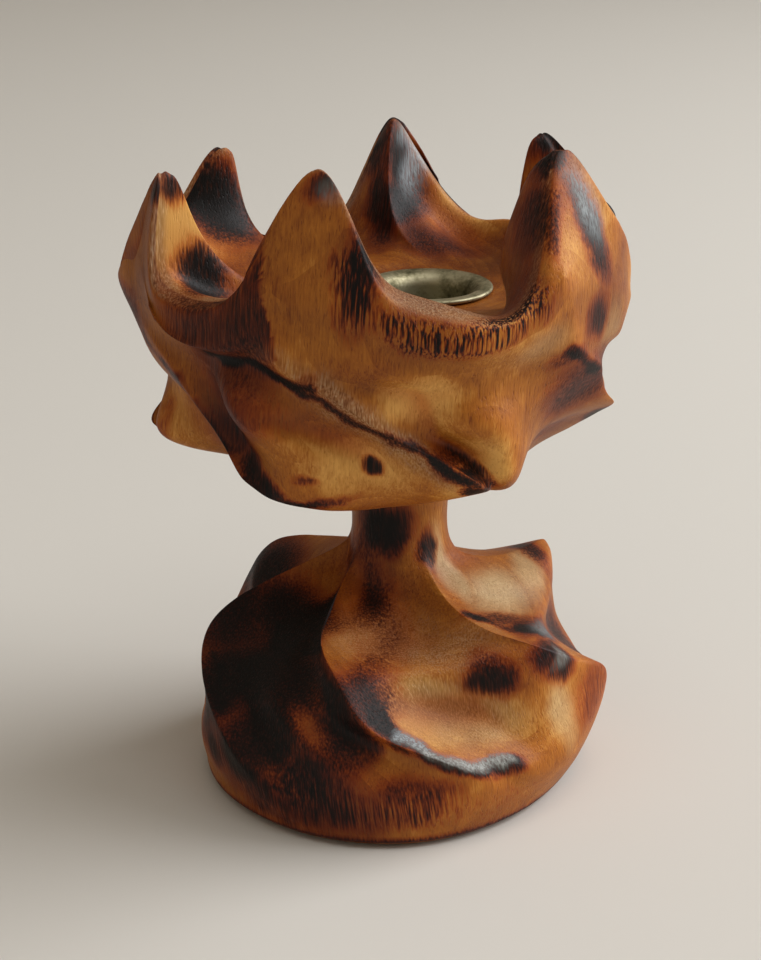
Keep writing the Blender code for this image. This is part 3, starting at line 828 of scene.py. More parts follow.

# %% The crown's tones
# Broad patches of lighter wood, above 0.5, and of darker wood, below it. They are partly
# painted light and shade: the lit nose at the front is raised, and faces on the left, away
# from the lamp, are lowered.
CROWN_TONES = [
    (-24, 53, 160, 7, 9, 0, .62), (-22, 57, 142, 9, 10, 0, .62), (-24, 58, 130, 9, 6, 0, .68),
    (12, 58, 130, 10, 5, 0, .6),
    (24, 57, 142, 9, 6, 0, .78), (38, 55, 160, 6, 12, 0, .74), (62, 54, 158, 6, 12, 0, .72),
    (66, 57, 138, 9, 9, 0, .5), (22, 55, 110, 9, 9, -30, .7), (-13, 55, 101, 16, 7, -10, .9),
    (4, 54, 119, 9, 7, 0, 1.1), (20, 54, 99, 6, 5, 0, .95),
    (-44, 57, 130, 10, 9, 0, .36), (-52, 56, 108, 9, 7, 0, .34), (-70, 63, 148, 8, 14, 0, .45),
    (-64, 61, 118, 9, 8, 0, .52), (-36, 54, 102, 8, 5, 0, .6), (58, 54, 112, 14, 8, 0, .45),
    (88, 56, 140, 12, 12, 0, .74), (140, 55, 138, 14, 12, 0, .68), (150, 54, 118, 14, 9, 0, .6),
    (196, 56, 138, 14, 12, 0, .62), (205, 55, 116, 14, 9, 0, .55), (250, 62, 136, 12, 12, 0, .52),
    (-80, 57, 102, 8, 8, 0, .85),
    (90, 53, 112, 12, 9, 0, .62), (255, 60, 116, 12, 9, 0, .5),
]
CROWN_INSIDE_TONES = [
    (-62, 57, 152, 11, 14, 0, 1.3), (-110, 50, 140, 12, 7, 0, .85), (-112, 53, 156, 5, 10, 0, .7),
    (156, 46, 148, 14, 9, 0, .9), (190, 46, 150, 8, 10, 0, .62), (118, 38, 150, 9, 9, 0, .5),
    (45, 46, 156, 10, 10, 0, .42), (75, 44, 140, 10, 8, 0, .7), (-20, 44, 150, 12, 12, 0, .5),
]


# %% Paint the crown
OUTSIDE_TONE = .55
INSIDE_TONE = .48
# The front tooth's ridge as azimuth and height, low down and near the tip.
FRONT_RIDGE_LOW = (-30, 128)
FRONT_RIDGE_HIGH = (-34, 147)


def broad(surface, patches, side, start):
    """The wood's tone from dark to light, blended from broad patches."""
    tone = np.full(len(side), start)
    for azimuth, radius, height, wide, tall, tilt, level in patches:
        cover = ovals(surface, [(azimuth, radius, height, wide, tall, tilt, 1)], side)
        tone = tone + (level - tone) * cover * .85
    return tone


def paint_crown(carving):
    """Stores the crown's marks, tones and hollows for its material."""
    surface = bare_fields(carving, CROWN_ROWS)
    outside = surface["row"] <= RIM_ROW
    inside = ~outside
    burn = ovals(surface, CROWN_BURNS, outside) + lines(surface, CROWN_BURN_LINES, outside)
    # Painted shade, with burns, on the faces that look to the left, away from the lamp.
    burn += ovals(surface, CROWN_LEFT_BURNS_AND_SHADE, outside) * shaded_side(surface, -.05, .25)
    azimuth = np.degrees(np.arctan2(surface["points"][:, 0], -surface["points"][:, 1]))
    climb = ramp(surface["points"][:, 2], FRONT_RIDGE_LOW[1], FRONT_RIDGE_HIGH[1])
    left_of_front = outside & (azimuth < mix(FRONT_RIDGE_LOW[0], FRONT_RIDGE_HIGH[0], climb))
    # Painted shade, with burns, on the face left of the front tooth's ridge.
    burn += ovals(surface, CROWN_FACET_BURNS_AND_SHADE, left_of_front)
    burn = np.clip(burn + ovals(surface, CROWN_INSIDE_BURNS, inside), 0, 1)
    streaks = lines(surface, CROWN_STREAKS, outside)
    tone = broad(surface, CROWN_TONES, outside, OUTSIDE_TONE)
    tone = np.where(inside, broad(surface, CROWN_INSIDE_TONES, inside, INSIDE_TONE), tone)
    # Painted sheen: the window's blue-grey reflection on the char, painted into the colour.
    haze = ovals(surface, CROWN_PAINTED_SHEEN, outside) + ovals(surface, CROWN_INSIDE_PAINTED_SHEEN, inside)
    rim = ramp(surface["row"], 11.9, 12.2) * (1 - ramp(surface["row"], 12.8, 13.1))
    store(carving, "burn", np.maximum(burn, streaks * .4))
    store(carving, "streaks", streaks)
    store(carving, "haze", haze)
    store(carving, "sanded", np.maximum(ovals(surface, CROWN_SANDED, outside), rim * .55))
    store(carving, "pale", ovals(surface, CROWN_PALE, outside))
    store(carving, "tone", tone)
    store(carving, "hollow", surface["hollow"])
    print("crown burned over", round(100 * float((burn > .4).mean())), "% of its faces")


paint_crown(crown)

# %% [markdown]
# ## The pedestal's marks
#
# The pedestal carries the strongest burns: a round scorch on the stem, the black band along
# the lip of the front hollow with a painted blue-grey reflection of the window on it, and the
# left faces, which are charred and darkened with painted shade nearly all over. Its hollows
# cut across the growth rings, so they are paler and greyer.

# %% The pedestal's burns and painted shade
PEDESTAL_BURNS = [
    (-15, 13, 70.5, 5.6, 6.2, 0, 1.1), (36, 13, 65, 2, 5, 0, .8), (60, 40, 48, 8, 4, -10, .6),
    (66, 44, 46.5, 8, 4, -15, .75), (-8, 48.5, 36.5, 5, 5, 30, .85), (94, 46, 33, 10, 8, 0, .6),
    (-64, 32, 47, 12, 9, 0, .9), (50, 33, 50, 8, 2.5, -25, .5),
    (33.4, 43.2, 38.8, 6, 4.5, 0, .9), (56, 50.4, 41, 4.5, 4, 0, .9), (51, 48.6, 43.7, 4, 3, 0, .8),
    (-15, 50, 34, 6, 9.5, 25, .95), (-84, 46, 48, 14, 10, 0, .78), (-63, 52, 34, 10, 12, 0, .9),
    (-45, 53, 22, 9, 9, 0, .8),
    (-92, 50, 36, 12, 12, 0, .6), (-61, 55, 16, 4, 6, 0, .7), (-28, 53, 12, 20, 7, 0, .62),
    (0, 53, 12, 12, 5, 0, .4),
    (5, 52.7, 16, 9, 4, 0, .5), (-35, 52.5, 11, 9, 5, 0, .45), (-118, 40, 46, 11, 9, 0, .75),
    (117, 38, 54, 8, 3.5, 0, .7), (70, 54, 28, 9, 8, 0, .3), (140, 51, 36, 8, 9, 0, .6),
    (165, 48, 30, 10, 8, 0, .45), (188, 48, 44, 7, 6, 0, .75), (215, 50, 28, 11, 8, 0, .5),
    (236, 48, 46, 7, 6, 0, .8), (250, 51, 22, 10, 8, 0, .6), (178, 13, 68, 5, 7, 0, .7),
    (-20, 20, 57, 5, 6, 0, .3),
]
# Burns and painted shade, put only where the surface looks to the left, away from the lamp.
PEDESTAL_LEFT_BURNS_AND_SHADE = [
    (-50, 30, 50, 18, 14, 0, .95), (-42, 46, 42, 14, 12, 0, .95), (-40, 52, 30, 12, 14, -20, .85),
    (-46, 16, 60, 6, 9, 0, .4), (-26, 52, 24, 9, 7, -20, .6),
]
PEDESTAL_BURN_LINES = [
    ([(-7, 49, 35), (0, 51.5, 29.5), (11, 53, 26), (22, 53, 21.5), (34, 52, 19)], 2.1, .95),
    ([(36, 30, 52), (46, 38, 48), (59, 42, 47), (70, 47, 44)], 1.6, .7),
    ([(-45, 33, 49), (-33, 43, 43), (-22, 47, 38)], 1.8, .7),
    ([(-80, 50, 38), (-58, 53, 27), (-40, 52, 14)], 1.5, .6),
    ([(110, 40, 52), (128, 48, 42), (142, 50, 28)], 1.6, .6),
    ([(170, 38, 49), (186, 46, 40), (202, 51, 22)], 1.6, .65),
    ([(226, 42, 49), (240, 47, 38), (254, 50, 22)], 1.6, .65),
]
print("the pedestal has", len(PEDESTAL_BURNS), "burns")

# %% The pedestal's streaks, painted sheen, sanded faces and tones
PEDESTAL_STREAKS = [
    ([(-30, 54, 14), (-10, 53.5, 11), (10, 53, 10), (40, 50, 9)], 5.0, .35),
    ([(150, 52, 20), (190, 53, 16)], 5.0, .6),
]
# A painted blue-grey reflection of the window on the waxed char, in spots and along the lip of the front
# hollow.
PEDESTAL_PAINTED_SHEEN = [
    (66, 44, 46.5, 6, 3, -15, .4), (56, 50.4, 42, 2.5, 2, 0, .5),
]
PEDESTAL_PAINTED_SHEEN_LINES = [
    ([(0, 51, 30.5), (11, 52.5, 27), (22, 52.5, 22.5), (33, 51.5, 20)], 1.5, .95),
]
PEDESTAL_SANDED = [
    (-8, 28, 46, 13, 9, 0, .55), (22, 35, 45, 12, 6, 0, .4), (12, 40, 33, 15, 7, -15, .6),
    (30, 44, 29, 9, 6, 0, .5),
]
PEDESTAL_PALE = [
    (50, 17, 57, 3, 10, 0, .9), (71, 28, 52, 10, 7, 0, .8), (97, 35, 52.6, 10, 4, 0, .7),
    (54, 52, 27, 3.5, 9, 10, .5), (160, 33, 50, 10, 6, 0, .5),
]
# Broad patches of lighter and darker tone. The dark ones on the left, away from the lamp, are partly
# painted shade.
PEDESTAL_TONES = [
    (0, 13, 66, 8, 12, 0, .5), (40, 14, 66, 7, 12, 0, .72), (-11, 27, 46, 13, 10, 0, .85),
    (22, 34, 45, 12, 7, 0, .6), (11, 40, 33, 15, 8, 0, 1.1), (35, 44, 28, 9, 6, 0, .9),
    (20, 40, 41, 18, 3.5, -12, .6), (54, 52, 28, 8, 12, 0, .72), (80, 53, 26, 10, 12, 0, .7),
    (-80, 48, 40, 16, 14, 0, .3), (-55, 53, 24, 12, 12, 0, .34), (-20, 53, 12, 18, 8, 0, .36),
    (12, 53, 12, 14, 6, 0, .62), (38, 52, 12, 10, 7, 0, .6), (-110, 44, 44, 14, 12, 0, .3),
    (150, 46, 44, 14, 9, 0, .6), (200, 44, 40, 14, 10, 0, .5), (245, 46, 38, 14, 10, 0, .4),
]


# %% Paint the pedestal
def paint_pedestal(carving):
    """Stores the pedestal's marks, tones and hollows, and a thin dark band round the bottom of its foot."""
    surface = bare_fields(carving, PEDESTAL_ROWS)
    everywhere = np.ones(len(surface["row"]), bool)
    # The bottom few mm of the foot are darker.
    foot_line = .8 * (1 - ramp(surface["points"][:, 2], 1.5, 4)) * ramp(surface["row"], 2, 3)
    burn = ovals(surface, PEDESTAL_BURNS, everywhere) + lines(surface, PEDESTAL_BURN_LINES, everywhere)
    # Painted shade, with burns, on the faces that look to the left, away from the lamp.
    burn += ovals(surface, PEDESTAL_LEFT_BURNS_AND_SHADE, everywhere) * shaded_side(surface, -.35, -.05)
    # Painted sheen: the window's reflection on the char, painted as a blue-grey colour.
    haze = ovals(surface, PEDESTAL_PAINTED_SHEEN, everywhere) + lines(surface, PEDESTAL_PAINTED_SHEEN_LINES, everywhere)
    burn = np.clip(np.maximum(burn, foot_line), 0, 1)
    store(carving, "burn", burn)
    store(carving, "streaks", lines(surface, PEDESTAL_STREAKS, everywhere))
    store(carving, "haze", np.clip(haze, 0, 1))
    store(carving, "sanded", ovals(surface, PEDESTAL_SANDED, everywhere))
    store(carving, "pale", ovals(surface, PEDESTAL_PALE, everywhere))
    store(carving, "tone", broad(surface, PEDESTAL_TONES, everywhere, OUTSIDE_TONE))
    store(carving, "hollow", surface["hollow"])
    print("pedestal burned over", round(100 * float((burn > .4).mean())), "% of its faces")


paint_pedestal(pedestal)

# %% [markdown]
# ## Charred and waxed wood
#
# The wood is a warm fruitwood. Its fibres run up the piece, so a side shows them as streaks
# and a face cut across them shows them as dots: one noise, stretched along Z, gives both. The
# growth rings are bent sleeves round the pith, a line beside the candlestick's own axis, and
# each carved hollow cuts them into contour lines. All scales are worked out in mm. The flame
# darkens the soft wood first, so the burn's edge is ragged along the fibres. Wax leaves the
# wood softly glossy, char is black and a little duller, and sanded end grain is pale and matt.
# Creases get painted shade on top of their char, and a blue-grey painted reflection of the window is mixed
# into the colour of the glossiest char.

# %% A helper for node materials
def add(tree, kind, settings, inputs):
    """Adds a shader node, sets its options, and fills or links its inputs."""
    made = tree.nodes.new("ShaderNode" + kind)
    for name, value in settings.items():
        if name == "stops":
            while len(made.color_ramp.elements) < len(value):
                made.color_ramp.elements.new(0.5)
            for element, (position, colour) in zip(made.color_ramp.elements, value):
                element.position = position
                element.color = linear(colour)
        else:
            setattr(made, name, value)
    for socket, value in inputs.items():
        if isinstance(value, bpy.types.NodeSocket):
            tree.links.new(value, made.inputs[socket])
        else:
            made.inputs[socket].default_value = value
    return made


def blank_material(name):
    """A new material with its node tree and its shader."""
    finish = bpy.data.materials.new(name)
    finish.use_nodes = True
    return finish, finish.node_tree, finish.node_tree.nodes["Principled BSDF"]


# %% Charred fruitwood
FIBRE_WIDTH = 0.55        # mm; real fibres are finer, and are drawn this coarse to show
FIBRE_LENGTH = 9.0        # mm
PORE_WIDTH = 0.4          # mm
PORE_LENGTH = 2.5         # mm
RING_SPACING = 2.8        # mm of growth in a year
CLOUD_SIZE = 24           # mm; the widest change of colour
PATCH_SIZE = 5            # mm
WAVE_PERIOD = math.tau / 20  # a Wave texture's period at scale 1


def charred_wood(name, pith, lean):
    """Waxed fruitwood with torch marks. The pith is a point in mm, and lean tilts the grain."""
    finish, tree, shader = blank_material(name)
    position = add(tree, "TexCoord", {}, {}).outputs["Object"]
    spot = add(tree, "VectorMath", {"operation": "SCALE"}, {0: position, "Scale": 1 / MM}).outputs[0]
    grain = add(tree, "Mapping", {}, {"Vector": spot, "Location": pith, "Rotation": lean}).outputs[0]
    fibre_scale = (1 / FIBRE_WIDTH, 1 / FIBRE_WIDTH, 1 / FIBRE_LENGTH)
    along = add(tree, "VectorMath", {"operation": "MULTIPLY"}, {0: grain, 1: fibre_scale}).outputs[0]
    fibres = add(tree, "TexNoise", {}, {"Vector": along, "Scale": 1.0, "Detail": 3.0}).outputs[0]
    pore_scale = (1 / PORE_WIDTH, 1 / PORE_WIDTH, 1 / PORE_LENGTH)
    along = add(tree, "VectorMath", {"operation": "MULTIPLY"}, {0: grain, 1: pore_scale}).outputs[0]
    speckle = add(tree, "TexNoise", {}, {"Vector": along, "Scale": 1.0, "Detail": 1.0}).outputs[0]
    pores = add(tree, "MapRange", {}, {0: speckle, 1: .58, 2: .72}).outputs[0]
    rings = add(tree, "TexWave", {"wave_type": "RINGS", "rings_direction": "Z", "wave_profile": "SAW"},
                {"Vector": grain, "Scale": WAVE_PERIOD / RING_SPACING, "Distortion": 18.0,
                 "Detail": 4.0, "Detail Scale": .03}).outputs["Fac"]
    clouds = add(tree, "TexNoise", {}, {"Vector": spot, "Scale": 1 / CLOUD_SIZE, "Detail": 4.0}).outputs[0]
    patches = add(tree, "TexNoise", {}, {"Vector": spot, "Scale": 1 / PATCH_SIZE, "Detail": 3.0}).outputs[0]
    clear = add(tree, "MapRange", {}, {0: patches, 1: .35, 2: .65}).outputs[0]
    rings = add(tree, "Mix", {}, {0: clear, 2: .5, 3: rings}).outputs[0]
    marks = {}
    for field in ("burn", "streaks", "haze", "sanded", "pale", "tone", "hollow"):
        marks[field] = add(tree, "Attribute", {"attribute_name": field}, {}).outputs["Fac"]

    tone = marks["tone"]
    for pattern, strength in ((clouds, .45), (patches, .22), (rings, .1), (fibres, .3), (speckle, .2),
                              (pores, -.14)):
        centred = add(tree, "MapRange", {"clamp": False}, {0: pattern, 3: -strength / 2, 4: strength / 2})
        tone = add(tree, "Math", {"operation": "ADD"}, {0: tone, 1: centred.outputs[0]}).outputs[0]
    wood = add(tree, "ValToRGB", {"stops": [(0, "#220E05"), (.25, "#4A220B"), (.5, "#7A3E12"),
                                           (.72, "#A96722"), (1, "#E0A658")]}, {0: tone}).outputs[0]
    olive = add(tree, "ValToRGB", {"stops": [(.25, "#7D6440"), (.6, "#B89C6F"), (.9, "#D9C59A")]},
                {0: tone}).outputs[0]
    salted = add(tree, "Math", {"operation": "MULTIPLY_ADD"}, {0: speckle, 1: 1.3, 2: -.15}).outputs[0]
    end_grain = add(tree, "ValToRGB", {"stops": [(.25, "#553B28"), (.5, "#8A6C52"), (.8, "#BDA485")]},
                    {0: salted}).outputs[0]
    wood = add(tree, "Mix", {"data_type": "RGBA"}, {0: marks["pale"], 6: wood, 7: olive}).outputs[2]
    wood = add(tree, "Mix", {"data_type": "RGBA"}, {0: marks["sanded"], 6: wood, 7: end_grain}).outputs[2]

    ragged = add(tree, "MapRange", {"clamp": False}, {0: fibres, 1: .3, 2: .7, 3: -.28, 4: .28}).outputs[0]
    edge = add(tree, "MapRange", {}, {0: marks["burn"], 1: 0.0, 2: .35}).outputs[0]
    edge = add(tree, "Math", {"operation": "MULTIPLY_ADD"},
               {0: marks["streaks"], 1: 2.6, 2: edge}).outputs[0]
    burn = add(tree, "Math", {"operation": "MULTIPLY_ADD"},
               {0: ragged, 1: edge, 2: marks["burn"]}).outputs[0]
    # Creases are darkened: partly char that sanding leaves in them, partly painted shade.
    crease = add(tree, "MapRange", {}, {0: marks["hollow"], 1: .02, 2: .7, 3: 0.0, 4: .26}).outputs[0]
    burn = add(tree, "Math", {"operation": "ADD"}, {0: burn, 1: crease}).outputs[0]
    scorch = add(tree, "ValToRGB", {"stops": [(0, "#FFFFFF"), (.2, "#E2BBA0"), (.45, "#9A6A50"),
                                             (.7, "#4E3123"), (1, "#100A08")]}, {0: burn}).outputs[0]
    wood = add(tree, "Mix", {"data_type": "RGBA", "blend_type": "MULTIPLY"},
               {0: 1.0, 6: wood, 7: scorch}).outputs[2]
    # A painted reflection: the window's blue-grey sheen on the waxed char, mixed into the colour and broken
    # up along the fibres.
    streaky = add(tree, "MapRange", {}, {0: fibres, 1: .36, 2: .62, 3: .35, 4: .95}).outputs[0]
    painted_sheen_cover = add(tree, "Math", {"operation": "MULTIPLY"}, {0: marks["haze"], 1: streaky}).outputs[0]
    wood = add(tree, "Mix", {"data_type": "RGBA"}, {0: painted_sheen_cover, 6: wood, 7: linear("#A0A8AC")}).outputs[2]
    ridge = add(tree, "MapRange", {}, {0: marks["hollow"], 1: -.05, 2: -.6, 3: 0.0, 4: .3}).outputs[0]
    wood = add(tree, "Mix", {"data_type": "RGBA", "blend_type": "SOFT_LIGHT"},
               {0: ridge, 6: wood, 7: linear("#F5D9AE")}).outputs[2]
    tree.links.new(wood, shader.inputs["Base Color"])

    gloss = add(tree, "MapRange", {}, {0: burn, 1: 0.0, 2: 1.0, 3: .44, 4: .5}).outputs[0]
    gloss = add(tree, "Math", {"operation": "MULTIPLY_ADD"}, {0: fibres, 1: .12, 2: gloss}).outputs[0]
    gloss = add(tree, "Math", {"operation": "MULTIPLY_ADD"},
                {0: marks["sanded"], 1: .12, 2: gloss}).outputs[0]
    tree.links.new(gloss, shader.inputs["Roughness"])
    height = add(tree, "Math", {"operation": "SUBTRACT"}, {0: fibres, 1: pores}).outputs[0]
    bump = add(tree, "Bump", {}, {"Strength": .5, "Distance": .00022, "Height": height}).outputs[0]
    tree.links.new(bump, shader.inputs["Normal"])
    shader.inputs["Specular IOR Level"].default_value = .2
    shader.inputs["Coat Weight"].default_value = .05
    shader.inputs["Coat Roughness"].default_value = .22
    return finish


# %% Give both carvings their wood
crown.data.materials.append(charred_wood("charred_waxed_fruitwood_crown", (14, -6, 0), (.08, -.05, 0)))
pedestal.data.materials.append(charred_wood("charred_waxed_fruitwood_pedestal", (-20, 8, 0), (-.1, .12, 0)))
for carving, node, slot in ((crown, "crown", "crown_wood"), (pedestal, "pedestal", "pedestal_wood")):
    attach(carving, "stand")
    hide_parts(node)
    print(carving.name, "stands for", node)

# %% [markdown]
# ## The candle cup
#
# A drop-in cup is spun or turned from thin brass: a straight tube with a flat floor and a
# lip that flares out like a bell and rests on the wood. It is drawn as one profile, round
# which a spin makes the solid. The lip's outer edge and its roll into the bore are arcs, as
# a spinning tool leaves them. It lifts straight out for cleaning, so it rides on its own body.

# %% Turned pieces
def arc(centre, radius, start, end, steps):
    """Points of an arc in the profile's plane, as (radius, height), angles in degrees."""
    angles = [math.radians(mix(start, end, step / steps)) for step in range(steps + 1)]
    return [(centre[0] + radius * math.cos(turn), centre[1] + radius * math.sin(turn)) for turn in angles]


def turned(name, profile, finish, centre=(0, 0), steps=96):
    """A closed solid spun about a vertical axis from a profile of (radius, height) in mm."""
    mesh = bmesh.new()
    points = [mesh.verts.new((radius * MM, 0, height * MM)) for radius, height in profile]
    line = [mesh.edges.new(pair) for pair in zip(points, points[1:])]
    bmesh.ops.spin(mesh, geom=points + line, cent=(0, 0, 0), axis=(0, 0, 1),
                   angle=math.tau, steps=steps, use_merge=True, use_duplicate=False)
    bmesh.ops.remove_doubles(mesh, verts=mesh.verts, dist=0.000001)
    bmesh.ops.translate(mesh, verts=mesh.verts, vec=(centre[0] * MM, centre[1] * MM, 0))
    bmesh.ops.recalc_face_normals(mesh, faces=mesh.faces)
    solid = place(name, mesh, finish)
    solid.data.shade_smooth()
    solid.data.set_sharp_from_angle(angle=math.radians(40))
    return solid


# %% [markdown]
# ### Aged brass
#
# Brass that has stood in a holder for years loses its yellow shine: a thin olive-grey film
# of oxide covers it, and only where fingers and candles rub does the metal show. The film is
# part of the metal's own look, so it is drawn as a change of colour and roughness between
# two states. Fine rings from turning run round the lip.

# %% Brass with an olive film
BLOTCH = 5           # mm
SPECK_SIZE = .8           # mm
LATHE_FEED = .6           # mm between turning rings, coarser than real ones so that they show


def aged_brass():
    """Old brass: a metal whose colour and roughness change with its film of oxide."""
    finish, tree, shader = blank_material("aged_brass_with_patina")
    position = add(tree, "TexCoord", {}, {}).outputs["Object"]
    spot = add(tree, "VectorMath", {"operation": "SCALE"}, {0: position, "Scale": 1 / MM}).outputs[0]
    blotches = add(tree, "TexNoise", {}, {"Vector": spot, "Scale": 1 / BLOTCH, "Detail": 5.0}).outputs[0]
    specks = add(tree, "TexNoise", {}, {"Vector": spot, "Scale": 1 / SPECK_SIZE, "Detail": 2.0}).outputs[0]
    to_axis = (-CUP_CENTRE[0], -CUP_CENTRE[1], 0)
    centre = add(tree, "Mapping", {}, {"Vector": spot, "Location": to_axis}).outputs[0]
    lathe = add(tree, "TexWave", {"wave_type": "RINGS", "rings_direction": "Z"},
                {"Vector": centre, "Scale": WAVE_PERIOD / LATHE_FEED, "Distortion": .4}).outputs["Fac"]
    film = add(tree, "Math", {"operation": "MULTIPLY_ADD"}, {0: specks, 1: .35, 2: blotches}).outputs[0]
    colour = add(tree, "ValToRGB", {"stops": [(.45, "#5C5840"), (.62, "#8D876A"), (.8, "#B5AE90")]},
                 {0: film}).outputs[0]
    tree.links.new(colour, shader.inputs["Base Color"])
    rough = add(tree, "MapRange", {}, {0: film, 1: .45, 2: .85, 3: .68, 4: .5}).outputs[0]
    tree.links.new(rough, shader.inputs["Roughness"])
    height = add(tree, "Math", {"operation": "MULTIPLY_ADD"}, {0: lathe, 1: .3, 2: specks}).outputs[0]
    bump = add(tree, "Bump", {}, {"Strength": .25, "Distance": .0001, "Height": height}).outputs[0]
    tree.links.new(bump, shader.inputs["Normal"])
    shader.inputs["Metallic"].default_value = 1.0
    return finish


# %% Turn the candle cup
BELL_RADIUS = 3.4         # mm; the roll from the lip into the bore
FLOOR_CORNER = .8         # mm; the rounding under the cup's floor
BORE_CORNER = 1.0         # mm; the rounding inside it


def cup_profile():
    """From the axis under the floor, up the outside, over the lip and down the bore."""
    rest = FLOOR_HEIGHT + GAP
    top = rest + LIP_THICKNESS
    bore = CUP_RADIUS - CUP_WALL
    half = LIP_THICKNESS / 2
    floor = CUP_BOTTOM + CUP_WALL
    profile = [(0, CUP_BOTTOM)]
    profile += arc((CUP_RADIUS - FLOOR_CORNER, CUP_BOTTOM + FLOOR_CORNER), FLOOR_CORNER, -90, 0, 5)
    profile += [(CUP_RADIUS, rest - GAP), (CUP_RADIUS + GAP, rest)]
    profile += arc((LIP_RADIUS - half, rest + half), half, -90, 90, 8)
    profile += arc((bore + BELL_RADIUS, top - BELL_RADIUS), BELL_RADIUS, 90, 180, 9)
    profile += [(bore, floor + 1.2 * BORE_CORNER)]
    profile += arc((bore - BORE_CORNER, floor + BORE_CORNER), BORE_CORNER, 0, -90, 4)
    profile += [(0, floor)]
    return profile


candle_cup = turned("turned_candle_cup", cup_profile(), aged_brass(), CUP_CENTRE)
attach(candle_cup, "cup")
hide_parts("candle_cup")
print("candle cup bore", 2 * (CUP_RADIUS - CUP_WALL), "mm")

# %% [markdown]
# ## The joint dowel
#
# A grooved beech dowel joins crown and pedestal across the glue line. It is hidden, but it
# is a real piece, so it gets what a bought dowel has: chamfered ends and shallow flutes that
# let glue and air escape. Beech is pale pink-brown with short dark flecks along the grain.

# %% Beech
def beech():
    """Plain planed beech with short flecks, stretched along the rod."""
    finish, tree, shader = blank_material("beech_dowel_rod")
    position = add(tree, "TexCoord", {}, {}).outputs["Object"]
    spot = add(tree, "VectorMath", {"operation": "SCALE"}, {0: position, "Scale": 1 / MM}).outputs[0]
    along = add(tree, "VectorMath", {"operation": "MULTIPLY"}, {0: spot, 1: (2.5, 2.5, .3)}).outputs[0]
    flecks = add(tree, "TexNoise", {}, {"Vector": along, "Scale": 1.0, "Detail": 2.0}).outputs[0]
    colour = add(tree, "ValToRGB", {"stops": [(.3, "#9A6E48"), (.5, "#CDA47A"), (.75, "#DDB98F")]},
                 {0: flecks}).outputs[0]
    tree.links.new(colour, shader.inputs["Base Color"])
    bump = add(tree, "Bump", {}, {"Strength": .3, "Distance": .0001, "Height": flecks}).outputs[0]
    tree.links.new(bump, shader.inputs["Normal"])
    shader.inputs["Roughness"].default_value = .6
    return finish


# %% Make the fluted dowel
POINTS_PER_FLUTE = 6


def flute_dowel(flutes=20, depth=.28, chamfer=1.0):
    """A rod whose flutes stop short of the chamfered ends."""
    low, high = dowel_low[2], dowel_high[2]
    levels = [(low, DOWEL_RADIUS - chamfer, 0), (low + chamfer, DOWEL_RADIUS, 0),
              (low + 2.5 * chamfer, DOWEL_RADIUS, depth), (high - 2.5 * chamfer, DOWEL_RADIUS, depth),
              (high - chamfer, DOWEL_RADIUS, 0), (high, DOWEL_RADIUS - chamfer, 0)]
    count = flutes * POINTS_PER_FLUTE
    mesh = bmesh.new()
    rows = []
    for height, radius, cut in levels:
        row = []
        for index in range(count):
            wave = (1 - math.cos(math.tau * index / POINTS_PER_FLUTE)) / 2
            spot = polar(360 * index / count, radius - cut * wave, height)
            row.append(mesh.verts.new([value * MM for value in spot]))
        rows.append(row)
    skin(mesh, rows)
    mesh.faces.new(rows[0][::-1])
    mesh.faces.new(rows[-1])
    bmesh.ops.recalc_face_normals(mesh, faces=mesh.faces)
    rod = place("fluted_joint_dowel", mesh, beech())
    rod.data.shade_smooth()
    rod.data.set_sharp_from_angle(angle=math.radians(30))
    return rod


dowel = flute_dowel()
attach(dowel, "stand")
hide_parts("joint_dowel")
print("dowel", round(dowel_high[2] - dowel_low[2], 1), "mm long")

# %% [markdown]
# ## The felt pad
#
# A disc of wool felt is glued into a shallow recess, so that the foot doesn't scratch the
# table. Felt has no weave: it is a mat of fibres, so its faces are a little lumpy and its cut
# edge is soft. A fine grid of rings is pushed about by noise, always inwards, and the sheen
# of the material gives the pale fuzz that felt shows at a low angle.

# %% Wool felt
HAIR_SIZE = .5            # mm; real wool is finer, and is drawn this coarse to show
LUMP_SIZE = 6             # mm


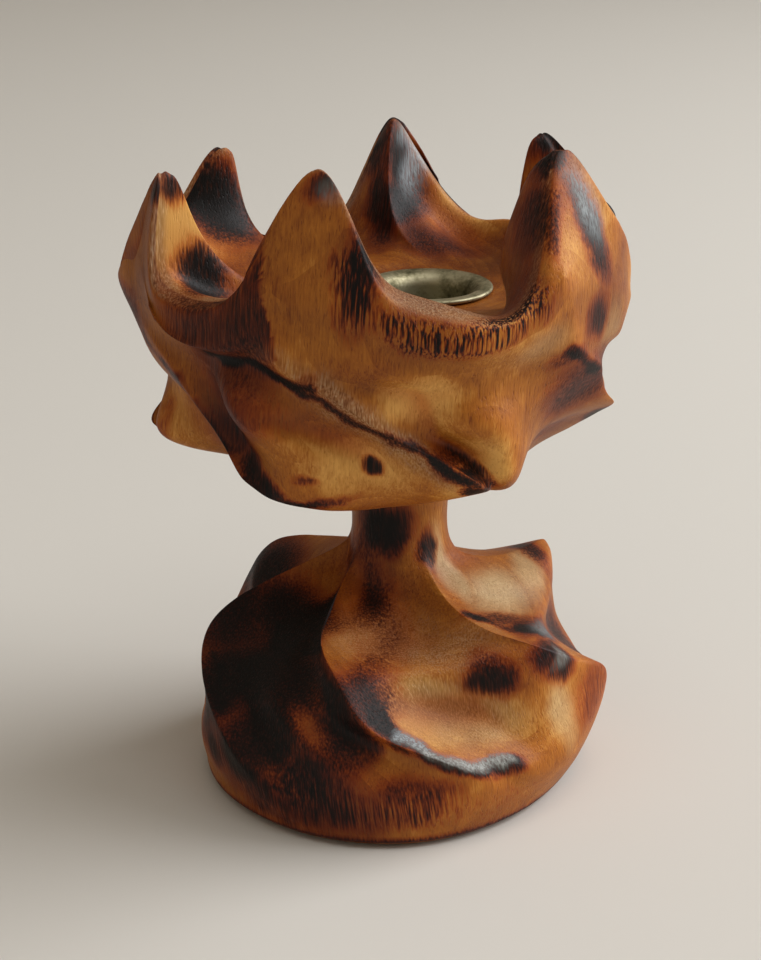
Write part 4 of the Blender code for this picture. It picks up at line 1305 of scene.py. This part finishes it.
def wool_felt():
    """Matt brown felt with a pale sheen of loose hairs."""
    finish, tree, shader = blank_material("brown_wool_felt")
    position = add(tree, "TexCoord", {}, {}).outputs["Object"]
    spot = add(tree, "VectorMath", {"operation": "SCALE"}, {0: position, "Scale": 1 / MM}).outputs[0]
    hairs = add(tree, "TexNoise", {}, {"Vector": spot, "Scale": 1 / HAIR_SIZE, "Detail": 6.0,
                                       "Distortion": 2.0}).outputs[0]
    lumps = add(tree, "TexNoise", {}, {"Vector": spot, "Scale": 1 / LUMP_SIZE, "Detail": 3.0}).outputs[0]
    mixed = add(tree, "Math", {"operation": "MULTIPLY_ADD"}, {0: lumps, 1: .4, 2: hairs}).outputs[0]
    colour = add(tree, "ValToRGB", {"stops": [(.5, "#2B1E15"), (.7, "#4A3626"), (.95, "#6B523C")]},
                 {0: mixed}).outputs[0]
    tree.links.new(colour, shader.inputs["Base Color"])
    bump = add(tree, "Bump", {}, {"Strength": .8, "Distance": .0003, "Height": mixed}).outputs[0]
    tree.links.new(bump, shader.inputs["Normal"])
    shader.inputs["Roughness"].default_value = .95
    shader.inputs["Sheen Weight"].default_value = .4
    shader.inputs["Sheen Roughness"].default_value = .5
    return finish


# %% Cut the felt pad
def pad_profile(rings=16, corner=.5):
    """A disc's profile with enough rings on both faces to carry the lumps."""
    low, high = pad_low[2], pad_high[2]
    spokes = [PAD_RADIUS * ring / rings for ring in range(rings)]
    profile = [(radius, low) for radius in spokes]
    profile += arc((PAD_RADIUS - corner, low + corner), corner, -90, 0, 4)
    profile += arc((PAD_RADIUS - corner, high - corner), corner, 0, 90, 4)
    profile += [(radius, high) for radius in reversed(spokes)]
    return profile


pad = turned("wool_felt_pad", pad_profile(), wool_felt())
PRESSED_IN = 0.16         # mm that the felt's faces are pushed in at most
DENT_SIZE = 2.5           # mm
middle = (pad_low[2] + pad_high[2]) / 2 * MM
for vertex in pad.data.vertices:
    lump = (noise.noise(vertex.co / MM / DENT_SIZE) + 1) / 2
    inward = Vector((-vertex.co.x, -vertex.co.y, 0)).normalized()
    inward.z = 1 if vertex.co.z < middle else -1
    vertex.co += inward * lump * PRESSED_IN * MM
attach(pad, "stand")
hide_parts("felt_pad")
print("felt pad", round(2 * PAD_RADIUS, 1), "mm across")

# %% [markdown]
# ## Is it still the same size?
#
# The looks must not change the candlestick's size. The box round the frame and the box round
# the finished model are printed side by side.

# %% Print both boxes and finish
def plain(box):
    return [[float(value) for value in corner] for corner in box]


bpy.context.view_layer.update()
for label, box in (("frame", cad_box), ("model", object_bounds())):
    sides = [round((high - low) / MM, 2) for low, high in zip(*plain(box))]
    print(label, "measures", sides, "mm")
